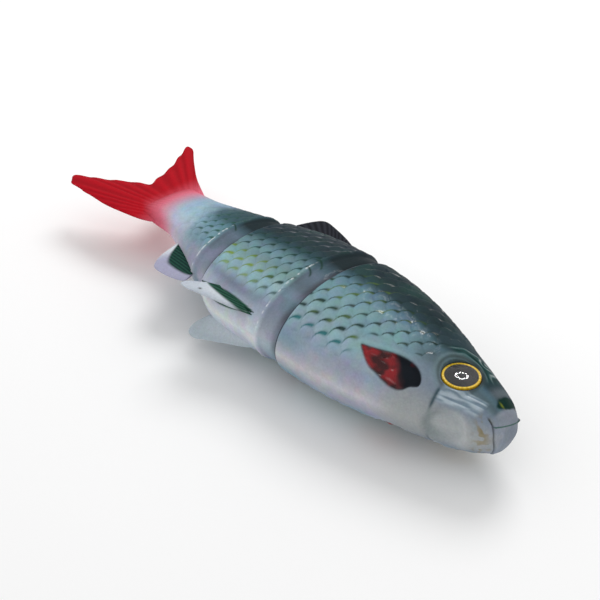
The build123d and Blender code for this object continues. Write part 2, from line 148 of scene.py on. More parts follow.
def mix(a, b, t):
    """From a to b as t runs from 0 to 1."""
    t = np.asarray(t)[..., None]
    return np.asarray(a) * (1 - t) + np.asarray(b) * t


def rgb(red, green, blue):
    """A linear colour from 0 to 255 screen values."""
    c = np.array([red, green, blue]) / 255
    return np.where(c <= 0.04045, c / 12.92, ((c + 0.055) / 1.055) ** 2.4)


def chance(*cells):
    """A repeatable random number from 0 to 1 for whole-numbered cells."""
    h = np.zeros(np.shape(cells[0]), np.int64) + 374761393
    for k, cell in enumerate(cells):
        h = (h ^ (np.asarray(cell).astype(np.int64) * (668265263 + 982451653 * k))) & 0x7FFFFFFF
        h = (h * 1274126177 + 12345) & 0x7FFFFFFF
        h ^= h >> 13
    return (h & 0xFFFF) / 65535.0


def noise(points, size, seed=0):
    """Smooth noise from 0 to 1 at points, with features of a size in millimetres."""
    p = points / size
    cell = np.floor(p).astype(np.int64)
    f = p - cell
    f = f * f * (3 - 2 * f)
    seeds = seed + 0 * cell[..., 0]
    total = 0
    for corner in np.ndindex(2, 2, 2):
        wx, wy, wz = (f[..., k] if step else 1 - f[..., k] for k, step in enumerate(corner))
        luck = chance(*(cell[..., k] + step for k, step in enumerate(corner)), seeds)
        total = total + wx * wy * wz * luck
    return total


def bands(share, stops):
    """Colours along the girth from (share, colour) stops."""
    at = [s for s, c in stops]
    colours = np.array([rgb(*c) for s, c in stops])
    return np.stack([np.interp(share, at, colours[:, k]) for k in range(3)], -1)


# ---- meshes ----
def new_mesh(name, points, faces, colour=None, gloss=0.0):
    """A smooth object from points in millimetres, with a colour and a shine on each if a colour is given."""
    data = bpy.data.meshes.new(name)
    data.from_pydata((np.asarray(points) * MM).tolist(), [], faces)
    data.validate()
    data.update()
    data.shade_smooth()
    if colour is not None:
        paint = data.attributes.new("paint", "FLOAT_COLOR", "POINT")
        paint.data.foreach_set("color", np.c_[np.clip(colour, 0, 1), np.ones(len(colour))].ravel())
        shine = data.attributes.new("gloss", "FLOAT", "POINT")
        shine.data.foreach_set("value", np.full(len(colour), gloss, np.float32))
    made = bpy.data.objects.new(name, data)
    bpy.context.scene.collection.objects.link(made)
    return made


def closed(grid):
    """A grid of rings as one list, with each end ring's middle as a pole: pole, rings, pole."""
    return np.vstack([grid[0].mean(0)[None], grid.reshape(-1, grid.shape[-1]), grid[-1].mean(0)[None]])


def tube_faces(rings, turns):
    """Quads between rings of points and a fan to a pole at each end, for points in the order of closed."""
    k = np.arange(turns)
    following = (k + 1) % turns
    faces = [(0, int(1 + a), int(1 + b)) for a, b in zip(k, following)]
    for r in range(rings - 1):
        near, far = 1 + r * turns, 1 + (r + 1) * turns
        faces += np.stack([near + k, far + k, far + following, near + following], -1).tolist()
    last = 1 + (rings - 1) * turns
    pole = 1 + rings * turns
    faces += [(int(last + b), int(last + a), pole) for a, b in zip(k, following)]
    return faces


def even_turns(count):
    """Angles round a body section, from the back over the right flank, at equal steps along the skin."""
    fine = np.linspace(0, 2 * math.pi, 18 * TURNS + 1)
    step = np.hypot(BODY_DEPTH / 2 * np.sin(fine), BODY_WIDTH / 2 * np.cos(fine))
    run = np.r_[0, np.cumsum((step[1:] + step[:-1]) / 2)]
    return np.interp(np.arange(count) / count * run[-1], run, fine)


ANGLES = even_turns(TURNS)


def ring_points(rings):
    """Points of every ring; a ring is (station, middle height, half depth, half width)."""
    s, mid, deep, wide = (rings[:, k][:, None] for k in range(4))
    x = LINE_TIE_STATION - s + 0 * ANGLES
    y = AXIS_Y + mid + deep * np.cos(ANGLES)
    z = wide * np.sin(ANGLES)
    return np.stack([x, y, z], -1)


def outward(points):
    """Unit normals of a grid of rings."""
    along = np.gradient(points, axis=0)
    round_ = np.roll(points, -1, axis=1) - np.roll(points, 1, axis=1)
    normal = np.cross(along, round_)
    length = np.linalg.norm(normal, axis=-1, keepdims=True)
    return normal / np.maximum(length, 1e-9)


def girth_share(points):
    """How far each point is from the back to the belly, from 0 to 1, on its own flank."""
    half = TURNS // 2
    step = np.linalg.norm(np.diff(points[:, : half + 1], axis=1), axis=-1)
    run = np.c_[np.zeros(len(points)), np.cumsum(step, axis=1)]
    run /= np.maximum(run[:, -1:], 1e-9)
    return np.c_[run, run[:, 1:half][:, ::-1]]


def skin_rings(stations):
    return np.stack([stations, mid_height(stations), half_depth(stations), half_width(stations)], -1)


def ball_rings(ridge, hinge, growth, angles):
    """Rings of the ball that a hinge's nose and socket share; the angle is from the ball's front."""
    deep = half_depth(ridge) - NECK_INSET + growth
    wide = half_width(ridge) - NECK_INSET + growth
    across, along = np.sin(angles), np.cos(angles)
    return np.stack([hinge - wide * along, mid_height(ridge) + 0 * angles, deep * across, wide * across], -1)


def socket_rings(rim, ridge, hinge):
    """The inside of a rim, from its lip forward to the socket's front."""
    wide = float(half_width(ridge)) - NECK_INSET + SOCKET_CLEARANCE
    start = math.acos((hinge - rim) / wide)
    return ball_rings(ridge, hinge, SOCKET_CLEARANCE, np.linspace(start, 0.06, SOCKET_STEPS))


def nose_rings(ridge, hinge):
    return ball_rings(ridge, hinge, 0.0, np.linspace(0.05, math.pi / 2, 44))


def neck_rings(ridge, hinge):
    """From the hinge back to the ridge, as wide as the ball, and up to full size in one soft shoulder."""
    s = np.linspace(hinge + 0.25, ridge + 0.9, 20)
    rings = skin_rings(s)
    shoulder = ramp(s, ridge - 1.4, ridge + 0.7)
    at_ridge = np.array([mid_height(ridge), half_depth(ridge) - NECK_INSET, half_width(ridge) - NECK_INSET])
    rings[:, 1:] = mix(at_ridge, rings[:, 1:], shoulder)
    rings[:, 2:] += 0.2 * hill(s, ridge + 0.8, 0.6)[:, None]
    return rings


RIM_INSETS = ((0.62, 0.02), (0.36, 0.10), (0.17, 0.24), (0.05, 0.44), (0.0, 0.72))  # ahead of the lip, inset
RIM_STEPS = len(RIM_INSETS)


def rim_rings(rim):
    """The skin's last millimetre, rounded over into the lip."""
    ahead, inset = np.array(RIM_INSETS).T
    rings = skin_rings(rim - ahead)
    rings[:, 2:] -= inset[:, None]
    return rings


# ---- scales ----
SCALE_RADIUS, SCALE_PITCH, SCALE_ROW = 3.1, 5.17, 3.55  # of one scale, its step along a row and between rows
SCALE_LEAD, SCALE_DROP = 0.16, 0.85  # where in its cell of the lattice a scale's middle lies


def scale_relief(row, along, stagger, shear_from, shear):
    """Overlapping round scales: their relief from 0 to 1, the mark on their upper rear edges and their luck.
    Rows count down the girth and along counts towards the tail."""
    shape = np.shape(row)
    front = np.full(shape, FAR)
    relief = np.zeros(shape)
    tone = np.zeros(shape)
    found = []
    base = np.floor(row).astype(int)
    for dn in (-2, -1, 0, 1):
        n = base + dn
        lead = 0.5 * (n - stagger) + shear * np.maximum(0, n - shear_from)
        for dk in (-1, 0, 1, 2):
            k = np.floor(along - lead + SCALE_LEAD).astype(int) + dk
            centre = k + lead - SCALE_LEAD
            a = (along - centre) * SCALE_PITCH
            b = (row - n - SCALE_DROP) * SCALE_ROW
            d = np.hypot(a, b) / SCALE_RADIUS
            luck = chance(n + 50, k + 50)
            found.append((centre, a, b, d, luck))
            inside = (d < 1) & (centre < front)
            front = np.where(inside, centre, front)
            slope = 0.30 + 0.70 * ramp(a / SCALE_RADIUS, -0.5, 0.75)
            relief = np.where(inside, slope * (1 - 0.85 * ramp(d, 0.86, 1.0) ** 2), relief)
            tone = np.where(inside, luck, tone)
    mark = np.zeros(shape)
    for centre, a, b, d, luck in found:
        turn = np.arctan2(-b, a)
        reach = ramp(turn, -0.45, 0.55) * fall(turn, 1.5, 1.8)
        width = 0.06 + 0.13 * ramp(turn, 0.5, 1.3)
        seen = centre <= front + 1e-6
        line = reach * hill(d, 1.0 - 0.4 * width, width) * (0.65 + 0.35 * luck)
        mark = np.where(seen, np.maximum(mark, line), mark)
    return relief, mark, tone


def head_lattice(s, v):
    return v / 0.061, (s - 53.25) / SCALE_PITCH, 10, 10, 0.22


def middle_lattice(s, v):
    stretch = 16.13 * np.log(np.maximum(1 + (s - 79) * 0.01442, 0.05)) - 2.04
    return (v - 0.012) / 0.0575, stretch, 11, 11, 0.2


def tail_lattice(s, v):
    return v / 0.070, (s - 118.3) / 4.3, 8, 8, 0.2


# ---- paint ----
HEAD_PAINT = (
    (0.00, (38, 50, 56)), (0.36, (34, 50, 54)), (0.44, (42, 62, 68)), (0.50, (84, 114, 128)),
    (0.58, (112, 144, 154)), (0.70, (130, 162, 168)), (0.80, (148, 174, 184)), (0.88, (152, 166, 184)),
    (0.95, (172, 176, 186)), (1.00, (196, 196, 200)),
)
MIDDLE_PAINT = (
    (0.00, (46, 50, 58)), (0.42, (40, 54, 60)), (0.50, (48, 74, 80)), (0.58, (104, 134, 144)),
    (0.66, (118, 148, 150)), (0.74, (148, 182, 188)), (0.83, (148, 162, 182)), (0.92, (184, 194, 206)),
    (1.00, (212, 218, 222)),
)
TAIL_PAINT = (
    (0.00, (48, 64, 72)), (0.40, (56, 82, 88)), (0.50, (62, 92, 98)), (0.58, (92, 124, 138)),
    (0.66, (114, 148, 160)), (0.82, (124, 152, 166)), (0.92, (160, 172, 188)), (1.00, (194, 192, 206)),
)
PALE_TAIL = (
    (0.00, (136, 160, 178)), (0.40, (144, 170, 188)), (0.64, (158, 186, 202)), (0.80, (184, 192, 208)),
    (1.00, (206, 190, 206)),
)
CHEEK_PAINT = (
    (0.00, (62, 74, 80)), (0.50, (64, 80, 86)), (0.60, (90, 108, 116)), (0.66, (118, 134, 148)),
    (0.75, (130, 142, 156)), (0.86, (152, 158, 162)), (1.00, (164, 168, 168)),
)
BAND_PAINT = (
    (0.00, (32, 42, 46)), (0.44, (32, 44, 48)), (0.52, (72, 94, 106)), (0.58, (98, 112, 128)),
    (0.66, (92, 104, 116)), (0.80, (114, 128, 144)), (0.92, (148, 156, 170)), (1.00, (184, 190, 200)),
)
RED = rgb(178, 14, 30)
DEEP_RED = rgb(132, 6, 20)
PINK = rgb(214, 110, 130)
BROWN = rgb(96, 84, 90)
RIB_GREEN = rgb(34, 62, 48)
LEAF_DARK, LEAF_LIGHT = rgb(18, 50, 42), rgb(44, 90, 72)
# painted shade: a dark grey laid on the lip of each rim and inside its socket, in the gap of the joint
LIP_AND_SOCKET_SHADE = rgb(70, 76, 86)
TAIL_RAYS = 18


def tail_paint(base, s, v):
    """The tail's colours: the base turns pink and then red towards the fin, sooner near the belly."""
    centre = 151.0 - 6.0 * ramp(v, 0.75, 1.0)
    pink = mix(PINK, RED, ramp(s, centre - 5.0, centre + 9.0))
    return mix(base, pink, ramp(s, centre - 12.0, centre - 1.5))


def body_paint(s, v, points):
    """The body's base colours before scales and details."""
    colour = mix(bands(v, HEAD_PAINT), bands(v, MIDDLE_PAINT), ramp(s, 64, 76))
    colour = mix(colour, bands(v, TAIL_PAINT), ramp(s, 104, 113))
    colour = mix(colour, bands(v, PALE_TAIL), ramp(s + 3 * noise(points, 3.0, 5), 124, 138))
    green = ramp(noise(points, 9.0, 3), 0.45, 0.75) * fall(v, 0.40, 0.52) * fall(s, 120, 128)
    colour = mix(colour, rgb(40, 70, 66), 0.55 * green)
    lilac = ramp(noise(points, 6.0, 9), 0.45, 0.8) * hill(v, 0.88, 0.09)
    colour = mix(colour, rgb(160, 150, 178), 0.45 * lilac)
    teal = ramp(noise(points, 5.0, 12), 0.5, 0.85) * ramp(v, 0.5, 0.6) * fall(v, 0.84, 0.92)
    colour = mix(colour, rgb(104, 146, 156), 0.22 * teal)
    mottle = np.stack([noise(points, 1.9, seed) for seed in (131, 132, 133)], -1) - 0.5
    return colour * (1 + 0.16 * mottle)


def speckle(colour, points, amount=0.05):
    fine = noise(points, 0.55, 21) - 0.5
    tint = np.stack([noise(points, 0.9, seed) for seed in (31, 32, 33)], -1) - 0.5
    return colour * (1 + amount * 2 * fine[..., None] + amount * tint)


# ---- curves ----
LEAF_REACH = 30.0  # how far from an outline's middle its distance is worked out


def leaf_distance(points, centre, leaf):
    """Signed distance in the side view to a closed smooth outline, positive inside. Millimetres."""
    edge = smooth_loop(np.array(leaf) + centre, 160)
    x, y = points[..., 0] - LINE_TIE_STATION, points[..., 1] - AXIS_Y
    near = (np.abs(x - edge[:, 0].mean()) < LEAF_REACH) & (np.abs(y - edge[:, 1].mean()) < LEAF_REACH / 1.5)
    px, py = x[near], y[near]
    dist, inside = np.full(px.shape, FAR), np.zeros(px.shape, bool)
    for a, b in zip(edge, np.roll(edge, -1, axis=0)):
        ab = b - a
        t = np.clip(((px - a[0]) * ab[0] + (py - a[1]) * ab[1]) / (ab @ ab), 0, 1)
        dist = np.minimum(dist, np.hypot(px - a[0] - t * ab[0], py - a[1] - t * ab[1]))
        crosses = (a[1] > py) != (b[1] > py)
        at = ab[0] * (py - a[1]) / (ab[1] or 1e-9) + a[0]
        inside ^= crosses & (px < at)
    signed = np.full(x.shape, -LEAF_REACH)
    signed[near] = np.where(inside, dist, -dist)
    return signed


def spline(a, b, c, d, f):
    """A share f of the way from b to c, on a smooth curve that also passes a and d."""
    return 0.5 * (2 * b + (c - a) * f + (2 * a - 5 * b + 4 * c - d) * f**2 + (3 * b - a - 3 * c + d) * f**3)


def smooth_loop(points, count):
    """A closed curve through points."""
    p = np.asarray(points, float)
    n = len(p)
    t = np.arange(count) / count * n
    k = np.floor(t).astype(int)
    f = (t - k)[:, None]
    return spline(*(p[(k + o) % n] for o in (-1, 0, 1, 2)), f)


def smooth_path(points, count, lean=1.0):
    """An open curve through points, in equal steps, or in steps that shrink to its end for a lean under 1."""
    p = np.asarray(points, float)
    p = np.vstack([2 * p[0] - p[1], p, 2 * p[-1] - p[-2]])
    n = len(p) - 3
    t = np.linspace(0, n - 1e-6, 40 * n)
    k = np.floor(t).astype(int)
    f = (t - k)[:, None]
    fine = spline(*(p[k + o] for o in range(4)), f)
    run = np.r_[0, np.cumsum(np.linalg.norm(np.diff(fine, axis=0), axis=1))]
    at = run[-1] * np.linspace(0, 1, count) ** lean
    return np.stack([np.interp(at, run, fine[:, j]) for j in range(fine.shape[1])], -1)


# ---- materials ----
def node_maker(tree):
    """A function that adds a node to a tree and sets its inputs and properties by name."""

    def node(kind, **settings):
        n = tree.nodes.new(kind)
        for key, value in settings.items():
            if key in n.inputs:
                n.inputs[key].default_value = value
            else:
                setattr(n, key, value)
        return n

    return node


def material(name, build):
    """A node material; build gets the shader, a maker of nodes and a maker of links."""
    made = bpy.data.materials.new(name)
    made.use_nodes = True
    tree = made.node_tree
    build(tree.nodes["Principled BSDF"], node_maker(tree), tree.links.new)
    return made


def bump(shader, node, link, height, strength, distance):
    """Fine relief in the shading only, on top of the mesh's own."""
    n = node("ShaderNodeBump", Strength=strength, Distance=distance)
    link(height, n.inputs["Height"])
    link(n.outputs["Normal"], shader.inputs["Normal"])


def grain_of(node, link, **settings):
    """Noise that stays with the object, as a socket from 0 to 1."""
    cloud = node("ShaderNodeTexNoise", **settings)
    link(node("ShaderNodeTexCoord").outputs["Object"], cloud.inputs["Vector"])
    return cloud.outputs["Fac"]


def follow(node, link, value, low, high):
    """A socket that runs from low to high as a value runs from 0 to 1."""
    span = node("ShaderNodeMapRange")
    span.inputs["To Min"].default_value = low
    span.inputs["To Max"].default_value = high
    link(value, span.inputs["Value"])
    return span.outputs["Result"]


def painted(name, rough=0.62, wrinkles=0.3):
    """Soft plastic in its mesh's colours, with a fine grain, and wet where the mesh says so."""

    def build(shader, node, link):
        paint = node("ShaderNodeAttribute", attribute_name="paint").outputs["Color"]
        gloss = node("ShaderNodeAttribute", attribute_name="gloss").outputs["Fac"]
        grain = grain_of(node, link, Scale=1800.0, Detail=3.0, Roughness=0.6)
        wrinkle = grain_of(node, link, Scale=900.0, Detail=4.0, Roughness=0.55)
        tint = node("ShaderNodeHueSaturation")
        link(follow(node, link, grain, 0.85, 1.15), tint.inputs["Value"])
        link(paint, tint.inputs["Color"])
        link(tint.outputs["Color"], shader.inputs["Base Color"])
        for wet_input, dry, wet in (
            ("Roughness", rough, 0.14), ("Specular IOR Level", 0.04, 0.6), ("Coat Weight", 0.03, 0.7),
        ):
            link(follow(node, link, gloss, dry, wet), shader.inputs[wet_input])
        shader.inputs["Coat Roughness"].default_value = 0.08
        bump(shader, node, link, wrinkle, wrinkles, 0.0003)

    return material(name, build)


def plain(name, colour, rough, metal=0.0, grain=400.0, depth=0.25, vary=0.2):
    """A hard material with a cloudy tone and a fine surface."""

    def build(shader, node, link):
        cloud = grain_of(node, link, Scale=grain * 0.25, Detail=4.0)
        tone = node("ShaderNodeValToRGB")
        dark, light = tone.color_ramp.elements
        dark.position, light.position = 0.3, 0.7
        dark.color = (*(colour * (1 - vary)), 1)
        light.color = (*np.minimum(colour * (1 + vary), 1), 1)
        link(cloud, tone.inputs["Fac"])
        link(tone.outputs["Color"], shader.inputs["Base Color"])
        link(follow(node, link, cloud, rough * 0.8, min(1.0, rough * 1.25)), shader.inputs["Roughness"])
        bump(shader, node, link, grain_of(node, link, Scale=grain, Detail=3.0), depth, 0.0002)
        shader.inputs["Metallic"].default_value = metal

    return material(name, build)


SOFT_SKIN = painted("pearl_skin")
FIN_SKIN = painted("fin_skin", wrinkles=0.15)


def finish_piece(made, body, skin, node):
    """Hangs a made piece on its body in place of the CAD node."""
    made.data.materials.append(skin)
    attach(made, body)
    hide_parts(node)


# ---- a body piece's skin ----
class Skin:
    """One body piece on its way to a mesh: rings of points, with relief, colour and shine for each point."""

    def __init__(self, rings, hidden=0):
        self.points = ring_points(rings)
        self.share = girth_share(self.points)
        self.station = rings[:, 0][:, None] + 0 * self.share
        self.height = self.points[..., 1] - AXIS_Y
        self.side = self.points[..., 2]
        self.open = np.ones(self.share.shape)
        self.open[len(rings) - hidden:] = 0
        self.relief = np.zeros(self.share.shape)
        self.gloss = np.zeros(self.share.shape)
        self.colour = body_paint(self.station, self.share, self.points)

    def cloud(self, size, seed):
        return noise(self.points, size, seed)

    def paint(self, colour, amount):
        self.colour = mix(self.colour, colour, amount)

    def shine(self, amount):
        self.gloss = np.clip(np.maximum(self.gloss, amount), 0, 1)

    def lay_scales(self, lattice, zone, rise):
        """Raises overlapping scales over a zone, and gives the strength of their marks in it."""
        relief, mark, tone = scale_relief(*lattice(self.station, self.share))
        self.relief += rise * zone * (relief - 0.5)
        # painted shade and light: a scale is lighter where it stands high and darker where it dips, on top of
        # its own random tone
        shade = (0.15 * (relief - 0.5) + 0.09 * (tone - 0.5)) * zone
        self.colour = self.colour * (1 + shade[..., None])
        return np.clip(1.6 * mark * zone, 0, 1)

    def finished(self):
        moved = self.points + outward(self.points) * (self.relief * self.open)[..., None]
        # the lip and the socket take the painted shade
        self.paint(LIP_AND_SOCKET_SHADE, 1 - self.open)
        return moved, speckle(self.colour, self.points), self.gloss


def make_tube(name, skin, body, node):
    """A mesh from a finished skin, closed by a pole at each end."""
    points, colour, gloss = skin.finished()
    faces = tube_faces(len(points), TURNS)
    made = new_mesh(name, closed(points), faces, closed(colour), closed(gloss[..., None])[:, 0])
    finish_piece(made, body, SOFT_SKIN, node)
    return made


def paint_band(skin, rim, ridge):
    """The bare shoulder between a rim and the ridge behind it, with painted shade darker towards the rim and
    a painted highlight along the top of the ridge.
    """
    s, v = skin.station, skin.share
    bare = bands(v, BAND_PAINT)
    brown = hill(s, rim + 1.2, 0.9) * ramp(skin.cloud(3.0, 111), 0.3, 0.7) * ramp(v, 0.42, 0.5)
    bare = mix(bare, BROWN, 0.5 * brown)
    # painted shade: the shoulder darkens towards the rim, where it runs down under it
    bare = bare * (1 - 0.45 * fall(s, rim + 0.6, rim + 3.2))[..., None]
    bare = mix(bare, rgb(150, 142, 176), 0.4 * ramp(skin.cloud(3.5, 115), 0.4, 0.8) * ramp(v, 0.6, 0.8))
    bare = mix(bare, rgb(110, 156, 168), 0.4 * ramp(skin.cloud(4.0, 116), 0.45, 0.8) * ramp(v, 0.6, 0.8))
    skin.paint(bare, 0.92 * fall(s, ridge - 0.6, ridge + 0.6))
    # painted highlight: near-white flecks along the top of the ridge, which also shines there
    crest_highlight = hill(s, ridge + 0.75, 0.24) * ramp(v, 0.50, 0.58) * fall(v, 0.92, 0.97) * skin.open
    skin.paint(rgb(232, 238, 242), 0.75 * crest_highlight * ramp(skin.cloud(0.8, 113), 0.46, 0.66))
    skin.shine(0.6 * crest_highlight)


def paint_ribs(skin, spots):
    """Green arcs that wrap the front of the bulges on a ridge; a spot is (station, share, radius)."""
    total = np.zeros(skin.share.shape)
    for at, share, radius in spots:
        behind, below = skin.station - at, (skin.share - share) * HALF_GIRTH
        turn = np.arctan2(-below, behind)
        reach = ramp(turn, 0.9, 1.7) * fall(turn, 2.6, 3.0)
        total = np.maximum(total, reach * hill(np.hypot(behind, below), radius, 0.33))
    skin.paint(RIB_GREEN, 0.9 * total * skin.open)


def back_edge_glints(skin, zone):
    """Painted highlights: thin pale lines on the edges of the dark scales of the back, some of which also
    shine.
    """
    mark = scale_relief(*middle_lattice(skin.station, skin.share))[1]
    skin.paint(rgb(104, 108, 118), 0.55 * np.clip(1.5 * mark, 0, 1) * zone)
    skin.shine(0.5 * mark * zone * ramp(skin.cloud(1.6, 117), 0.5, 0.7))


# ---- the head ----
GILL_LEAF = [
    (-10.3, -1.5), (-7.6, -0.4), (-4.6, 0.8), (-1.4, 2.2), (2.2, 3.3), (5.6, 3.7), (8.2, 3.2), (10.1, 1.9),
    (10.4, 0.4), (8.4, -1.0), (6.9, -2.4), (4.6, -3.4), (1.6, -3.9), (-1.6, -4.0), (-4.9, -4.0), (-8.2, -2.9),
]
GILL_CENTRE = np.array([-32.4, -12.5])
EYE_STATION, EYE_HEIGHT, EYE_RADIUS = 15.9, -1.9, 5.4
EYE_FORWARD_TILT, EYE_UPWARD_TILT, EYE_DEPTH = 2.0, 0.5, 2.0
MOUTH_HEIGHT = -5.1
DISH_STATION, DISH_RADIUS = 11.6, 6.6


def eye_frame(side):
    """The middle of an eye's back and its three axes; side is 1 for the right flank."""
    forward, upward = math.sin(math.radians(EYE_FORWARD_TILT)), math.sin(math.radians(EYE_UPWARD_TILT))
    normal = np.array([forward, upward, side * math.sqrt(1 - forward**2 - upward**2)])
    rise = (EYE_HEIGHT - float(mid_height(EYE_STATION))) / float(half_depth(EYE_STATION))
    surface = float(half_width(EYE_STATION)) * math.sqrt(1 - rise**2)
    origin = np.array([LINE_TIE_STATION - EYE_STATION, AXIS_Y + EYE_HEIGHT, side * surface])
    across = np.cross([0, 1, 0], normal)
    across /= np.linalg.norm(across)
    return origin - normal * EYE_DEPTH, across, np.cross(normal, across), normal


def head_rings():
    """A rounded snout, the flanks, the rim behind the gills and the socket inside it."""
    blunt, power = 1.6, 3.2
    share = np.linspace(0.04, 0.99, 30)
    cap = blunt * (1 - (1 - share**power) ** (1 / power))
    closing = skin_rings(cap)
    closing[:, 2:] *= share[:, None]
    s = cap[-1] + (FRONT_RIM - FLANK_END - cap[-1]) * (np.arange(1, 206) / 205) ** 1.22
    flanks = skin_rings(s)
    flanks[:, 2:] *= ((1 - (1 - np.clip(s / blunt, 0, 1)) ** power) ** (1 / power))[:, None]
    socket = socket_rings(FRONT_RIM, FRONT_RIDGE, FRONT_HINGE)
    return np.vstack([closing, flanks, rim_rings(FRONT_RIM), socket])


def colour_head(skin):
    """A slate crown, a grey-blue cheek and a paler throat ahead of the scales."""
    s, v = skin.station, skin.share
    crown = mix(rgb(44, 62, 68), rgb(88, 98, 104), ramp(s, 3.6, 5.5) * fall(s, 6.0, 9.0))
    skin.paint(crown, fall(v, 0.40, 0.56) * fall(s, 26, 34))
    skin.paint(bands(v, CHEEK_PAINT), fall(s, 24, 36) * ramp(v, 0.46, 0.58))
    skin.paint(rgb(112, 156, 170), 0.6 * ramp(s, 54, 62) * hill(v, 0.9, 0.05))


def scale_head(skin, gill):
    """Scales from behind the eye and the gill to the rim, their marks greener to the rear and bluer below."""
    s, v = skin.station, skin.share
    front = 25.0 + 19.0 * ramp(v, 0.60, 0.70)
    zone = ramp(s, front - 1.5, front + 3.0) * fall(v, 0.83, 0.89) * fall(gill, -2.2, -0.8) * skin.open
    marks = skin.lay_scales(head_lattice, zone, 0.30)
    ink = mix(rgb(20, 42, 36), rgb(80, 106, 46), ramp(skin.cloud(4.0, 41), 0.35, 0.75) * ramp(s, 28, 46))
    ink = mix(ink, rgb(44, 108, 112), ramp(v, 0.74, 0.80))
    skin.paint(ink, 0.92 * marks * ramp(v, 0.36, 0.46) * fall(v, 0.80, 0.88))
    skin.shine(0.8 * marks * ramp(skin.cloud(2.2, 43), 0.66, 0.8) * fall(v, 0.55, 0.65))


def open_gill(skin, gill):
    """A sunk leaf of wet red flesh behind a slate plate."""
    bed = ramp(gill, 0.0, 0.7)
    skin.relief += 0.16 * hill(gill, -0.35, 0.45) - 0.85 * bed
    rear = (skin.points[..., 0] - LINE_TIE_STATION - GILL_CENTRE[0]) / 10.4
    up = (skin.height - GILL_CENTRE[1]) / 4.0
    fold = 0.5 + 0.5 * np.sin(7.5 * rear + 2.2 * up + 2.5 * skin.cloud(3.0, 51))
    wet = bed * ramp(-rear - 0.55 * up + 0.25 * skin.cloud(1.6, 52), -0.35, 0.15)
    lumps = skin.cloud(1.5, 53)
    skin.relief += wet * (0.50 * ramp(lumps, 0.35, 0.8) + 0.3 * fold)
    flesh = mix(rgb(62, 2, 8), rgb(142, 10, 22), ramp(0.6 * lumps + 0.4 * fold, 0.3, 0.7))
    streak = ramp(fold, 0.8, 1.0) * ramp(-rear, -0.75, -0.3)
    slate = mix(rgb(28, 33, 39), rgb(96, 18, 26), streak)
    skin.paint(mix(slate, flesh, wet), ramp(gill, -0.1, 0.35))
    skin.shine(0.85 * wet)


def ring_eye(skin):
    """The eye's seat, the soft ring behind it and the wet green brow over it."""
    s = skin.station
    gap = np.hypot(s - EYE_STATION - 0.3, skin.height - EYE_HEIGHT)
    skin.relief -= 0.5 * fall(gap, EYE_RADIUS + 0.1, EYE_RADIUS + 1.5)
    skin.relief += 0.34 * hill(gap, 8.4, 0.6) * ramp(s, 16, 20)
    skin.paint(rgb(112, 134, 138), 0.5 * fall(gap, 7.0, 8.6) * ramp(s, 16, 20))
    skin.paint(rgb(52, 60, 58), 0.6 * hill(gap, 6.2, 0.5))
    over_eye = ramp(skin.height, EYE_HEIGHT + 3, EYE_HEIGHT + 5.5)
    brow = ramp(gap, 6.4, 7.2) * fall(gap, 9.6, 11.5) * over_eye * ramp(s, 8, 12) * fall(s, 23, 27)
    ripple = np.sin(2.4 * gap + 9 * skin.cloud(3.0, 57))
    skin.relief += 0.10 * ripple * brow
    skin.paint(mix(rgb(16, 48, 44), rgb(40, 88, 88), 0.5 + 0.5 * ripple), 0.85 * brow)
    skin.shine(0.65 * brow * ramp(ripple, 0.2, 0.9))


def stripe_cheek(skin):
    """The shiny streaked plate below the eye and the dark bar behind it."""
    s, height = skin.station, skin.height
    across = (height + 7.6) - 0.36 * (12 - s)
    plate = ramp(s, 4.2, 5.6) * fall(s, 15.5, 17.5) * fall(np.abs(across), 1.7, 2.6)
    plate = plate * ramp(skin.share, 0.45, 0.55)
    strokes = np.stack([s / 3.2, across / 0.42, 0 * s + np.sign(skin.side) * 7.5], -1)
    streaks = ramp(noise(strokes, 1.0, 61), 0.3, 0.75)
    skin.relief += plate * (0.16 + 0.16 * streaks)
    skin.paint(mix(rgb(118, 138, 152), rgb(186, 202, 212), streaks), 0.7 * plate)
    skin.shine(0.5 * plate * ramp(streaks, 0.4, 0.9))
    bar = hill(s, 17.2 + 0.1 * (height + 9), 0.5) * ramp(height, -13.8, -12.0) * fall(height, -9.4, -8.2)
    bar = bar * ramp(skin.share, 0.5, 0.55)
    skin.relief -= 0.3 * bar
    skin.paint(rgb(34, 66, 74), 0.85 * bar)


def shape_mouth(skin):
    """The mouth's crease, the green seam up the right of the snout, the nostrils and a little staining."""
    s, height, side = skin.station, skin.height, skin.side
    front = fall(s, 1.6, 2.6)
    skin.relief += 0.8 * fall(s, 0.3, 1.6) * ramp(-side, -1.0, 3.0)
    crease = hill(height, MOUTH_HEIGHT - 0.02 * side, 0.2) * fall(s, 2.0, 3.2)
    skin.relief += 0.12 * hill(np.abs(height - MOUTH_HEIGHT), 0.75, 0.35) * front - 0.6 * crease
    chin = mix(rgb(150, 156, 166), rgb(136, 144, 158), skin.cloud(2.0, 71))
    skin.paint(chin, 0.8 * fall(s, 1.2, 2.4) * ramp(height, -12, -1))
    # painted shade: the crease is painted darker
    skin.paint(rgb(74, 80, 84), 0.8 * crease)
    seam = hill(side, 4.2 - 0.38 * (height - MOUTH_HEIGHT - 0.2), 0.22) * front
    seam = seam * ramp(height, MOUTH_HEIGHT, MOUTH_HEIGHT + 0.4) * fall(height, 5.2, 5.8)
    skin.relief += 0.05 * seam
    skin.paint(rgb(22, 84, 60), 0.95 * seam)
    burr = hill(np.hypot(side - 0.3, height - 5.7), 0, 0.42) * front
    skin.relief += 0.7 * burr
    skin.paint(rgb(48, 60, 56), burr)
    open_nostrils(skin)
    stain = ramp(skin.cloud(1.1, 91), 0.5, 0.72) * hill(s, 2.4, 2.0) * hill(height, -7.2, 2.0)
    skin.paint(rgb(132, 112, 40), 0.7 * stain * ramp(skin.share, 0.5, 0.6))


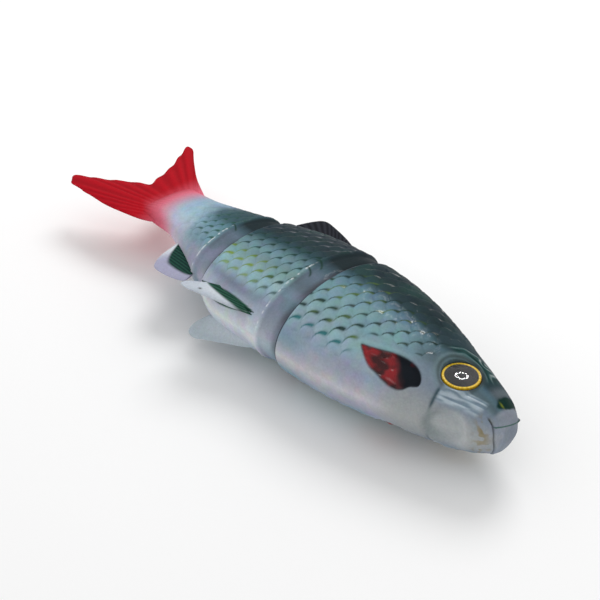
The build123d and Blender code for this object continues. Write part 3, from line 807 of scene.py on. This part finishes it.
def open_nostrils(skin):
    """A dark green hollow on each side of the snout, with a yellow fleck."""
    s, height, side = skin.station, skin.height, skin.side
    reach = np.hypot((s - 3.2) / 1.7, (height - 2.4) / 4.2) + 0.35 * (skin.cloud(1.2, 81) - 0.5)
    hollow = fall(reach, 0.7, 1.05) * ramp(np.abs(side), 1.4, 2.6)
    skin.paint(rgb(18, 48, 42), hollow)
    skin.relief -= 0.22 * hollow
    fleck = hill(s, 2.9, 0.8) * hill(height, 0.4, 0.35) * ramp(side, 3, 4)
    skin.paint(rgb(130, 140, 40), 0.7 * fleck)


def dish_throat(skin):
    """The round dish under the throat, with painted shade on the rear of its side and a painted highlight on
    the front, and the soft folds between it and the gill.
    """
    s, v = skin.station, skin.share
    gap = np.hypot(s - DISH_STATION, skin.side)
    under = ramp(v, 0.6, 0.7)
    skin.relief -= 2.1 * fall(gap, DISH_RADIUS - 2.6, DISH_RADIUS) * under
    skin.relief += 0.35 * hill(gap, DISH_RADIUS + 0.5, 0.6) * under
    skin.paint(rgb(176, 182, 184), 0.5 * fall(gap, DISH_RADIUS - 1.2, DISH_RADIUS) * under)
    # painted shade on the rear side of the dish and a painted highlight on its front side
    wall_shading = hill(gap, DISH_RADIUS - 1.2, 1.3) * under
    rearward = (s - DISH_STATION) / DISH_RADIUS
    skin.paint(rgb(104, 116, 118), 0.55 * wall_shading * ramp(rearward, -0.3, 0.9))
    skin.paint(rgb(204, 208, 208), 0.5 * wall_shading * ramp(-rearward, 0.0, 0.9))
    folds = np.sin(s * 2.1 + 3.0 * skin.cloud(5.0, 95)) * hill(s, 34, 9) * hill(v, 0.86, 0.07)
    skin.relief += 0.10 * folds


def notch_back(skin):
    """The groove across the back round the line tie's hole, which is at height 0 in the lure's frame."""
    rise = skin.points[..., 1]
    gap = np.hypot(skin.station - LINE_TIE_STATION, rise)
    skin.relief -= 1.9 * fall(gap, 1.6, 2.7) * (np.abs(skin.side) < 7) * ramp(rise, -4, -3)


def seat_eyes(skin):
    """Presses a round pocket into each cheek for the eye, with the skin rolled up round its edge."""
    skin.points = skin.points + outward(skin.points) * (skin.relief * skin.open)[..., None]
    skin.relief = 0 * skin.relief
    for side in (1, -1):
        origin, across, up, normal = eye_frame(side)
        offset = skin.points - origin
        r = np.hypot(offset @ across, offset @ up)
        h = offset @ normal
        floor_height = -0.15 + 4.0 * ramp(r, EYE_RADIUS - 0.1, EYE_RADIUS + 0.5)
        near = (r < 9) & (h > -4)
        collar = 0.75 - 4.5 * ramp(r, 5.9, 9.0)
        moved = np.where(near & (h > floor_height), floor_height - h, 0)
        moved = np.where(near & (h < collar) & (r > EYE_RADIUS), collar - h, moved)
        skin.points = skin.points + moved[..., None] * normal
        # painted shade: the pocket is painted near-black round the eye's edge, in the gap between the eye and
        # the skin
        skin.paint(rgb(14, 15, 18), fall(r, EYE_RADIUS, EYE_RADIUS + 0.35) * near)


def head_skin():
    """The head with its face, scales, gills and line tie groove."""
    skin = Skin(head_rings(), RIM_STEPS + SOCKET_STEPS)
    gill = leaf_distance(skin.points, GILL_CENTRE, GILL_LEAF)
    colour_head(skin)
    scale_head(skin, gill)
    open_gill(skin, gill)
    ring_eye(skin)
    stripe_cheek(skin)
    shape_mouth(skin)
    dish_throat(skin)
    notch_back(skin)
    skin.relief += 0.08 * (skin.cloud(2.2, 99) - 0.5)
    seat_eyes(skin)
    return skin


make_tube("head_skin", head_skin(), "head", "head_body")


# ---- the middle ----
LEAF_STATION, LEAF_SHARE = 92.0, 0.888


def grow_leaf(skin):
    """The green leaf of rays on the right flank, above the pelvic fin, with a band of painted shade in dark
    lilac above it.
    """
    along = (skin.station - LEAF_STATION) / 13.5
    off_line = skin.share - LEAF_SHARE - 0.0018 * (skin.station - LEAF_STATION + 13)
    across = off_line / 0.042
    ends = np.clip(1 - np.abs(along) ** 1.7, 0, 1)
    leaf = fall(np.abs(across), 0.75 * ends, ends + 0.02) * (np.abs(along) < 1)
    ray = wave((off_line * 48 + 0.06 * (skin.station - LEAF_STATION)) / 1.25)
    # painted shade: a dark lilac band over the leaf's upper edge, on both flanks
    skin.paint(rgb(98, 102, 120), 0.5 * hill(skin.share, LEAF_SHARE - 0.06, 0.03) * hill(along, 0, 0.8))
    skin.relief += (0.25 + 0.1 * ray) * leaf
    skin.paint(mix(LEAF_DARK, LEAF_LIGHT, ray), leaf * (skin.side > 0))


def scale_middle(skin):
    """Scales from the ridge to the rim, with marks yellower to the rear, over a slight bulge of the belly."""
    s, v = skin.station, skin.share
    bare_edge = ramp(s, FRONT_RIDGE - 0.5, FRONT_RIDGE + 1.5) * skin.open
    zone = bare_edge * fall(v, 0.80, 0.86)
    marks = skin.lay_scales(middle_lattice, zone, 0.28)
    ink = mix(rgb(24, 54, 46), rgb(116, 142, 48), ramp(s, 78, 90) * ramp(v, 0.60, 0.68))
    strength = (0.92 - 0.3 * ramp(v, 0.7, 0.8)) * ramp(v, 0.40, 0.48) * fall(v, 0.78, 0.84)
    skin.paint(ink, marks * strength)
    back_edge_glints(skin, bare_edge * fall(v, 0.36, 0.44))
    skin.relief += 0.07 * (skin.cloud(2.4, 101) - 0.5) * bare_edge
    skin.relief += 1.2 * hill(s, 97, 7) * hill(v, 1.0, 0.10)


def middle_skin():
    """The middle, from its nose in the head's socket to its own socket."""
    flanks = skin_rings(np.linspace(FRONT_RIDGE + FLANK_START, REAR_RIM - FLANK_END, 112))
    skin = Skin(np.vstack([
        nose_rings(FRONT_RIDGE, FRONT_HINGE),
        neck_rings(FRONT_RIDGE, FRONT_HINGE),
        flanks,
        rim_rings(REAR_RIM),
        socket_rings(REAR_RIM, REAR_RIDGE, REAR_HINGE),
    ]), RIM_STEPS + SOCKET_STEPS)
    scale_middle(skin)
    grow_leaf(skin)
    paint_band(skin, FRONT_RIM, FRONT_RIDGE)
    paint_ribs(skin, ((76.0, 0.615, 2.9), (76.0, 0.545, 2.9)))
    return skin


middle_piece = make_tube("middle_skin", middle_skin(), "middle", "middle_body")


# ---- the tail ----
FIN_ROOT_DEPTH, FIN_ROOT_THICKNESS, ROOT_LENGTH = 11.3, 0.6, 9.0


def tail_rings():
    """The nose, the peduncle and a chisel end that dives into the tail fin."""
    flanks = skin_rings(np.linspace(REAR_RIDGE + FLANK_START, BODY_LENGTH, 105))
    end = np.linspace(0, 1, 30)[1:]
    _, mid, deep, wide = flanks[-1]
    chisel = np.stack([
        BODY_LENGTH + ROOT_LENGTH * end,
        mid + 0 * end,
        deep + (FIN_ROOT_DEPTH - deep) * ramp(end, 0, 1),
        wide + (FIN_ROOT_THICKNESS - wide) * (0.55 * end + 0.45 * end**2),
    ], -1)
    return np.vstack([nose_rings(REAR_RIDGE, REAR_HINGE), neck_rings(REAR_RIDGE, REAR_HINGE), flanks, chisel])


def tail_skin():
    """The tail, with scales that fade out before the peduncle and rays that run on into the fin."""
    skin = Skin(tail_rings())
    s, v = skin.station, skin.share
    zone = ramp(s, REAR_RIDGE - 0.5, REAR_RIDGE + 1.5) * fall(v, 0.82, 0.88) * fall(s, 128, 140)
    marks = skin.lay_scales(tail_lattice, zone, 0.24)
    inked = ramp(v, 0.36, 0.44) * fall(v, 0.72, 0.80) * fall(s, 123, 131)
    skin.paint(rgb(40, 80, 64), 0.88 * marks * inked)
    paint_band(skin, REAR_RIM, REAR_RIDGE)
    paint_ribs(skin, ((115.2, 0.56, 2.6),))
    rays = np.cos(2 * math.pi * TAIL_RAYS * (0.5 - skin.height / (2 * FIN_ROOT_DEPTH)))
    skin.relief += 0.09 * rays * ramp(s, 147, 153) * fall(np.abs(skin.height), 9.5, 11)
    skin.colour = tail_paint(skin.colour, s, v)
    return skin


tail_piece = make_tube("tail_skin", tail_skin(), "tail", "tail_body")

# ---- slots for the hinge tongues ----
FRONT_SWING, REAR_SWING, SPARE_SWING = 22, 28, 3  # degrees each way, and the room beyond them
SLOT_HALF_WIDTH, SLOT_HALF_HEIGHT, KNUCKLE_ROOM = 1.9, 4.9, 3.4


def slot_cutter(hinge, ridge, swing):
    """The fan-shaped room in a nose for the tongue of the frame ahead and its knuckle round the pin."""
    reach = float(half_width(ridge)) + SOCKET_CLEARANCE
    near = SLOT_HALF_WIDTH
    far = near + reach * math.tan(math.radians(swing + SPARE_SWING))
    x = LINE_TIE_STATION - hinge
    turns = np.linspace(math.pi / 2 + 0.5, 1.5 * math.pi - 0.5, 13)
    circle = [(x + KNUCKLE_ROOM * math.cos(a), KNUCKLE_ROOM * math.sin(a)) for a in turns]
    flat = [(x + reach, -far), (x + reach, far), (x, near), *circle, (x, -near)]
    n = len(flat)
    y = AXIS_Y + float(mid_height(ridge))
    points = [(px, y + way * SLOT_HALF_HEIGHT, pz) for way in (-1, 1) for px, pz in flat]
    faces = [tuple(range(n)), tuple(range(2 * n - 1, n - 1, -1))]
    faces += [(k, n + k, n + (k + 1) % n, (k + 1) % n) for k in range(n)]
    return new_mesh("cutter", points, faces)


def cut(piece, cutter):
    """Takes the cutter out of the piece for good."""
    step = piece.modifiers.new("cut", "BOOLEAN")
    step.object, step.operation, step.solver = cutter, "DIFFERENCE", "EXACT"
    shaped = bpy.data.meshes.new_from_object(piece.evaluated_get(bpy.context.evaluated_depsgraph_get()))
    piece.modifiers.clear()
    piece.data = shaped
    bpy.data.objects.remove(cutter)


cut(middle_piece, slot_cutter(FRONT_HINGE, FRONT_RIDGE, FRONT_SWING))
cut(tail_piece, slot_cutter(REAR_HINGE, REAR_RIDGE, REAR_SWING))


# ---- fins ----
RAY_STEPS = 70  # points along a fin's ray


def fin(
    name, place, root, edge, body, paint, rays, thick,
    thin=0.8, across=150, lean=1.0, ripple=0.10, scallop=0.0,
):
    """A soft ray fin: straight lines from points along its root to points along its edge.

    place turns flat points (towards the tail, away from the body, sideways) into the lure's frame, and paint
    gives colours from the shares p along the fin and q outwards, the wave of the rays and the flat points.
    """
    foot = smooth_path(root, across)
    rim = smooth_path(edge, across, lean)
    p = np.linspace(0, 1, across)[:, None] + np.zeros(RAY_STEPS)
    q = np.zeros(across)[:, None] + np.linspace(0, 1, RAY_STEPS)
    ray = np.cos(2 * math.pi * rays * p + 0.4 * np.sin(9 * p)) * 0.5 + 0.5
    ends = ramp(p, 0.16, 0.26) * fall(p, 0.72, 0.84)
    reach = q * (1 + scallop * (ray - 0.5) * ends)
    flat = foot[:, None] * (1 - reach[..., None]) + rim[:, None] * reach[..., None]
    border = np.clip(np.minimum(np.minimum(p, 1 - p) * 9, (1 - q) * 5), 0, 1)
    half = (thick * (1 - q) + thin * q) / 2 * np.sqrt(border) * 0.98 + 0.02
    half = half + ripple * (ray - 0.6) * border * ramp(q, 0.02, 0.15)
    sheets = [place(flat[..., 0], flat[..., 1], way * half).reshape(-1, 3) for way in (1, -1)]
    colours = np.vstack([paint(p, q, ray, flat).reshape(-1, 3)] * 2)
    points = np.vstack(sheets)
    made = new_mesh(name + "_skin", points, fin_faces(across, RAY_STEPS), speckle(colours, points))
    finish_piece(made, body, FIN_SKIN, name)


def fin_faces(across, out):
    """Quads of two facing sheets and of the edge between them."""
    index = np.arange(across * out).reshape(across, out)
    a, b, c, d = index[:-1, :-1], index[1:, :-1], index[1:, 1:], index[:-1, 1:]
    top = np.stack([a, d, c, b], -1).reshape(-1, 4)
    under = np.stack([a, b, c, d], -1).reshape(-1, 4) + across * out
    loop = np.r_[index[:, 0], index[-1, 1:], index[:-1, -1][::-1], index[0, 1:-1][::-1]]
    following = np.roll(loop, -1)
    side = np.stack([following, following + across * out, loop + across * out, loop], -1)
    return np.vstack([top, under, side]).tolist()


def upright(x, y, z):
    """From (minus station, height, sideways) to the lure's frame."""
    return np.stack([x + LINE_TIE_STATION, y + AXIS_Y, z + 0 * x], -1)


def dark_rays(p, q, ray, flat):
    """Slate rays in a near-black skin."""
    return mix(rgb(26, 28, 35), rgb(52, 54, 62), 0.7 * ray * ramp(q, 0.1, 0.4))


fin(
    "dorsal_fin", upright,
    [(-80, 22.4), (-90, 22.2), (-101, 20.2)],
    [
        (-80.2, 25.0), (-86, 27.0), (-93, 29.3), (-98, 30.8), (-104, 32.0), (-108, 32.5), (-110.2, 31.7),
        (-111.6, 29.6), (-113.0, 26.2), (-113.8, 23.6),
    ],
    "middle", dark_rays, rays=17, thick=1.7, thin=0.7,
)


def red_rays(p, q, ray, flat):
    """The tail's own colours, with the troughs between the rays a deeper red."""
    station = -flat[..., 0]
    share = np.clip(0.5 - 0.5 * flat[..., 1] / FIN_ROOT_DEPTH, 0, 1)
    red = tail_paint(rgb(168, 184, 198), station, share)
    return mix(red, DEEP_RED, 0.45 * (1 - ray) * ramp(station, 152, 164))


fin(
    "tail_fin", upright,
    [(-145, 9.6), (-145, 0), (-145, -9.6)],
    [
        (-146.5, 11.0), (-158.3, 16.4), (-168.6, 22.8), (-175.4, 27.6), (-177.4, 28.2), (-178.6, 26.8),
        (-174.8, 20.6), (-170.6, 13.4), (-168.4, 7.4), (-166.6, 2.6), (-169.6, 0.1), (-174, -3.1),
        (-178, -6.4), (-182.8, -9.8), (-187.2, -12.6), (-188.4, -14.6), (-187.8, -16.4), (-185.4, -17.6),
        (-180.6, -17.8), (-172.1, -17.3), (-165.7, -16.9), (-158.6, -15.4), (-151.5, -13.4), (-146.5, -11.0),
    ],
    "tail", red_rays, rays=TAIL_RAYS, thick=2.3, across=420, ripple=0.14, scallop=0.03,
)


def fan(flat, from_behind, from_below, count):
    """Rays that spread from one point of a flat fin."""
    angle = np.arctan2(flat[..., 1] + from_below, flat[..., 0] + from_behind)
    return 0.5 + 0.5 * np.cos(count * angle)


def leaf_rays(p, q, ray, flat):
    """A pale soft fin with a green patch of rays against the body and one dark dot."""
    rear, down = flat[..., 0], flat[..., 1]
    reach = 2.4 * np.sqrt(np.clip(1 - ((rear - 10.0) / 11.5) ** 2, 0, 1))
    patch = fall(down - reach, -0.6, 0.6)
    pale = mix(rgb(200, 208, 214), rgb(184, 192, 202), ramp(q, 0.3, 0.9))
    dark_dot = hill(np.hypot(rear - 18.6, down - 5.4), 0, 0.5)
    pale = mix(pale, rgb(48, 42, 38), dark_dot)
    return mix(pale, mix(LEAF_DARK, LEAF_LIGHT, fan(flat, 4.0, 2.5, 85)), patch)


def pale_rays(p, q, ray, flat):
    """A plain pale grey skin."""
    return mix(rgb(192, 202, 210), rgb(176, 188, 196), ramp(q, 0.2, 0.9))


def pelvic_place(side, splay):
    """The plane of a pelvic fin; side is 1 for the right flank."""
    first, offset = 78.5, 0.18 * BODY_WIDTH
    rise = math.sqrt(1 - (offset / float(half_width(first))) ** 2)
    height = float(mid_height(first)) - float(half_depth(first)) * rise
    down, outer = math.cos(math.radians(splay)), side * math.sin(math.radians(splay))

    def place(x, y, z):
        return np.stack([
            LINE_TIE_STATION - first - x,
            AXIS_Y + height - y * down + z * outer,
            side * offset + y * outer + z * down,
        ], -1)

    return place


for side, name, splay, rays_of in ((1, "right", 15, leaf_rays), (-1, "left", 42, pale_rays)):
    fin(
        name + "_pelvic_fin", pelvic_place(side, splay),
        [(0, -2.0), (8, -2.0), (18, -2.2)],
        [
            (0.4, 0.2), (4.8, 2.1), (11.9, 4.8), (18.0, 7.1), (21.6, 8.5), (24.6, 8.0), (25.0, 5.4),
            (23.4, 2.4), (21.0, -0.6),
        ],
        "middle", rays_of, rays=15, thick=2.6, lean=0.6, ripple=0.02,
    )


def anal_rays(p, q, ray, flat):
    """A dark green patch of rays on a lilac fin."""
    lilac = mix(rgb(164, 164, 188), rgb(206, 212, 218), ramp(p, 0.4, 0.7))
    green = mix(rgb(16, 44, 42), rgb(36, 78, 66), wave(flat[..., 1] / 1.1))
    return mix(green, lilac, np.clip(ramp(q, 0.62, 0.74) + ramp(p, 0.93, 1.0), 0, 1))


fin(
    "anal_fin", upright,
    [(-115.0, -15.0), (-122, -11.8), (-130.4, -8.6)],
    [
        (-114.9, -19.2), (-112.6, -22.4), (-114.0, -24.3), (-117.5, -25.6), (-121.2, -26.2), (-124.2, -26.2),
        (-126.2, -24.8), (-128.4, -21.3), (-130.0, -16.2), (-131.0, -11.6),
    ],
    "tail", anal_rays, rays=13, thick=1.9, lean=0.6, ripple=0.05,
)


# ---- eyes ----
EYE_TURNS = 96
IRIS_FACE, IRIS_EDGE, PUPIL_RADIUS = 1.25, 1.2, 4.6  # heights are from the seat in the head
DOME_RISE, DOME_BACK, DOME_TOP = 0.9, 1.27, 2.2


def disc(name, side, profile, colour):
    """A turned piece of an eye. The profile's (radius, height) points run from its face round to its back."""
    origin, across, up, normal = eye_frame(side)
    angles = np.arange(EYE_TURNS) / EYE_TURNS * 2 * math.pi
    r, h = (np.array(column)[:, None] for column in zip(*profile))
    turned = np.cos(angles)[:, None] * across + np.sin(angles)[:, None] * up
    points = origin + r[..., None] * turned + h[..., None] * normal
    colours = colour(r + 0 * angles, angles + 0 * r)
    return new_mesh(name, closed(points), tube_faces(len(profile), EYE_TURNS), closed(colours))


def iris_colour(r, angle):
    """A near-black pupil in a fluted gold ring with a dark outer edge."""
    gold = mix(rgb(206, 160, 18), rgb(240, 210, 60), 0.5 + 0.5 * np.sin(angle * 37 + 3 * np.sin(angle * 5)))
    gold = mix(gold, rgb(120, 84, 10), ramp(r, 5.1, 5.4) * 0.6)
    return mix(rgb(3, 3, 4), gold, ramp(r, PUPIL_RADIUS, PUPIL_RADIUS + 0.2))


def iris_profile():
    """A flat printed disc with softened edges."""
    face = np.linspace(0.1, EYE_RADIUS - 0.1, 56)
    radii = np.r_[face, EYE_RADIUS, EYE_RADIUS, EYE_RADIUS - 0.1, 0.1]
    heights = np.r_[np.full(len(face), IRIS_FACE), IRIS_EDGE, 0.05, 0.0, 0.0]
    return list(zip(radii, heights))


def dome_profile():
    """A shallow ball cap over a flat back, just clear of the iris."""
    ball = (EYE_RADIUS**2 + DOME_RISE**2) / (2 * DOME_RISE)
    radii = np.r_[np.linspace(0.1, EYE_RADIUS - 0.15, 30), EYE_RADIUS - 0.05]
    heights = np.maximum(np.sqrt(ball**2 - radii**2) - ball + DOME_TOP, DOME_BACK + 0.02)
    back_radii = np.linspace(EYE_RADIUS - 0.1, 0.1, 10)
    return list(zip(np.r_[radii, back_radii], np.r_[heights, np.full(len(back_radii), DOME_BACK)]))


def clear_build(shader, node, link):
    """A thin clear shell: see-through, with a sharp reflection that grows towards its edge."""
    haze = grain_of(node, link, Scale=300.0, Detail=2.0)
    gloss = node("ShaderNodeBsdfGlossy")
    link(follow(node, link, haze, 0.02, 0.05), gloss.inputs["Roughness"])
    edge = node("ShaderNodeFresnel", IOR=1.45)
    facing = node("ShaderNodeNewGeometry")
    outside = node("ShaderNodeMath", operation="SUBTRACT", use_clamp=True)
    link(edge.outputs["Fac"], outside.inputs[0])
    link(facing.outputs["Backfacing"], outside.inputs[1])
    both = node("ShaderNodeMixShader")
    link(outside.outputs["Value"], both.inputs["Fac"])
    link(node("ShaderNodeBsdfTransparent").outputs["BSDF"], both.inputs[1])
    link(gloss.outputs["BSDF"], both.inputs[2])
    link(both.outputs["Shader"], shader.id_data.nodes["Material Output"].inputs["Surface"])


IRIS_PRINT = painted("iris_print", rough=0.5, wrinkles=0.05)
EYE_RESIN = material("eye_resin", clear_build)

for side, name in ((1, "right"), (-1, "left")):
    iris = disc(name + "_iris_disc", side, iris_profile(), iris_colour)
    finish_piece(iris, "head", IRIS_PRINT, name + "_eye_iris")
    cap = disc(name + "_eye_cap", side, dome_profile(), lambda r, angle: np.ones((*r.shape, 3)))
    finish_piece(cap, "head", EYE_RESIN, name + "_eye_dome")

# ---- hard pieces from the CAD ----
FRAME_PLASTIC = plain("frame_plastic", rgb(205, 204, 196), 0.45, grain=900.0)
STEEL = plain("bright_steel", rgb(170, 172, 175), 0.22, metal=1.0, grain=1500.0, depth=0.15, vary=0.08)
LEAD = plain("cast_weight", rgb(96, 98, 104), 0.55, metal=0.9, grain=700.0, depth=0.5)
for names, finish_of in (
    (("head_frame", "middle_frame", "tail_frame"), FRAME_PLASTIC),
    (("line_tie", "line_tie_rivet", "front_hinge_pin", "rear_hinge_pin"), STEEL),
    (("head_weight", "middle_weight"), LEAD),
):
    for node_name in names:
        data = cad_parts[node_name].data
        data.materials.clear()
        data.materials.append(finish_of)

# ---- floor, light and camera ----
FLOOR_Z = cad_box[0].z


def floor_build(shader, node, link):
    """A matt, nearly white paper that shows the object's soft shadow."""
    cloud = grain_of(node, link, Scale=6.0, Detail=2.0)
    link(follow(node, link, cloud, 0.97, 0.99), shader.inputs["Base Color"])
    shader.inputs["Roughness"].default_value = 0.9
    shader.inputs["Specular IOR Level"].default_value = 0.0


bpy.ops.mesh.primitive_plane_add(size=6.0, location=(-0.06, -0.02, FLOOR_Z))
floor = bpy.context.active_object
floor.name = "floor"
floor.data.materials.append(material("floor_paper", floor_build))

CAMERA_SKY, SKIN_SKY, MIRROR_SKY = 1.0, 0.74, 0.30  # what the camera, matt surfaces and reflections see


def light_sky(world):
    """White to the camera, softer on matt surfaces and dimmer in reflections, as in a tent with openings."""
    world.use_nodes = True
    tree = world.node_tree
    node, link = node_maker(tree), tree.links.new
    path = node("ShaderNodeLightPath")
    total = node("ShaderNodeMath")
    link(follow(node, link, path.outputs["Is Camera Ray"], SKIN_SKY, CAMERA_SKY), total.inputs[0])
    link(follow(node, link, path.outputs["Is Glossy Ray"], 0.0, MIRROR_SKY - SKIN_SKY), total.inputs[1])
    sky = tree.nodes["Background"]
    sky.inputs["Color"].default_value = (1.0, 1.0, 1.0, 1.0)
    link(total.outputs["Value"], sky.inputs["Strength"])


bpy.context.scene.world = bpy.data.worlds.new("studio")
light_sky(bpy.context.scene.world)


def towards(place, target):
    """The turn that points a lamp or a camera at a target."""
    return (Vector(target) - Vector(place)).to_track_quat("-Z", "Y")


def lamp(name, place, target, size, watts, seen_in_gloss):
    """A round lamp that either lights the skin or shows as a reflection in what is glossy."""
    light = bpy.data.lights.new(name, "AREA")
    light.shape, light.size, light.energy = "DISK", size, watts
    made = bpy.data.objects.new(name, light)
    bpy.context.scene.collection.objects.link(made)
    made.location = place
    made.rotation_mode = "QUATERNION"
    made.rotation_quaternion = towards(place, target)
    made.visible_glossy = seen_in_gloss
    made.visible_diffuse = not seen_in_gloss


def ring_light(centre, aim, radius, count, watts):
    """A ring of small lamps, which shows as a bright ring in anything glossy."""
    facing = towards(centre, aim)
    size = 0.95 * 2 * math.pi * radius / count
    for k in range(count):
        turn = 2 * math.pi * k / count
        spot = Vector(centre) + facing @ Vector((radius * math.cos(turn), radius * math.sin(turn), 0))
        lamp(f"ring_{k}", spot, aim, size, watts / count, True)


CENTRE = (-0.06, -0.018, 0.0)
KEY_PLACE = (-0.245, 0.326, 0.490)
lamp("key", KEY_PLACE, CENTRE, size=0.34, watts=1.6, seen_in_gloss=False)
ring_light(KEY_PLACE, CENTRE, radius=0.092, count=12, watts=2.2)

camera = bpy.data.objects.new("camera", bpy.data.cameras.new("camera"))
bpy.context.scene.collection.objects.link(camera)
bpy.context.scene.camera = camera
camera.data.lens = 79.44
camera.data.sensor_width = 36.0
camera.location = (0.1863, AXIS_Y * MM - 0.2147, 0.2378)
camera.rotation_mode = "QUATERNION"
camera.rotation_quaternion = towards(camera.location, (-0.05956, AXIS_Y * MM - 0.00272, 0.0))
camera.data.clip_start, camera.data.clip_end = 0.01, 20.0
bpy.context.scene.view_settings.view_transform = "Standard"
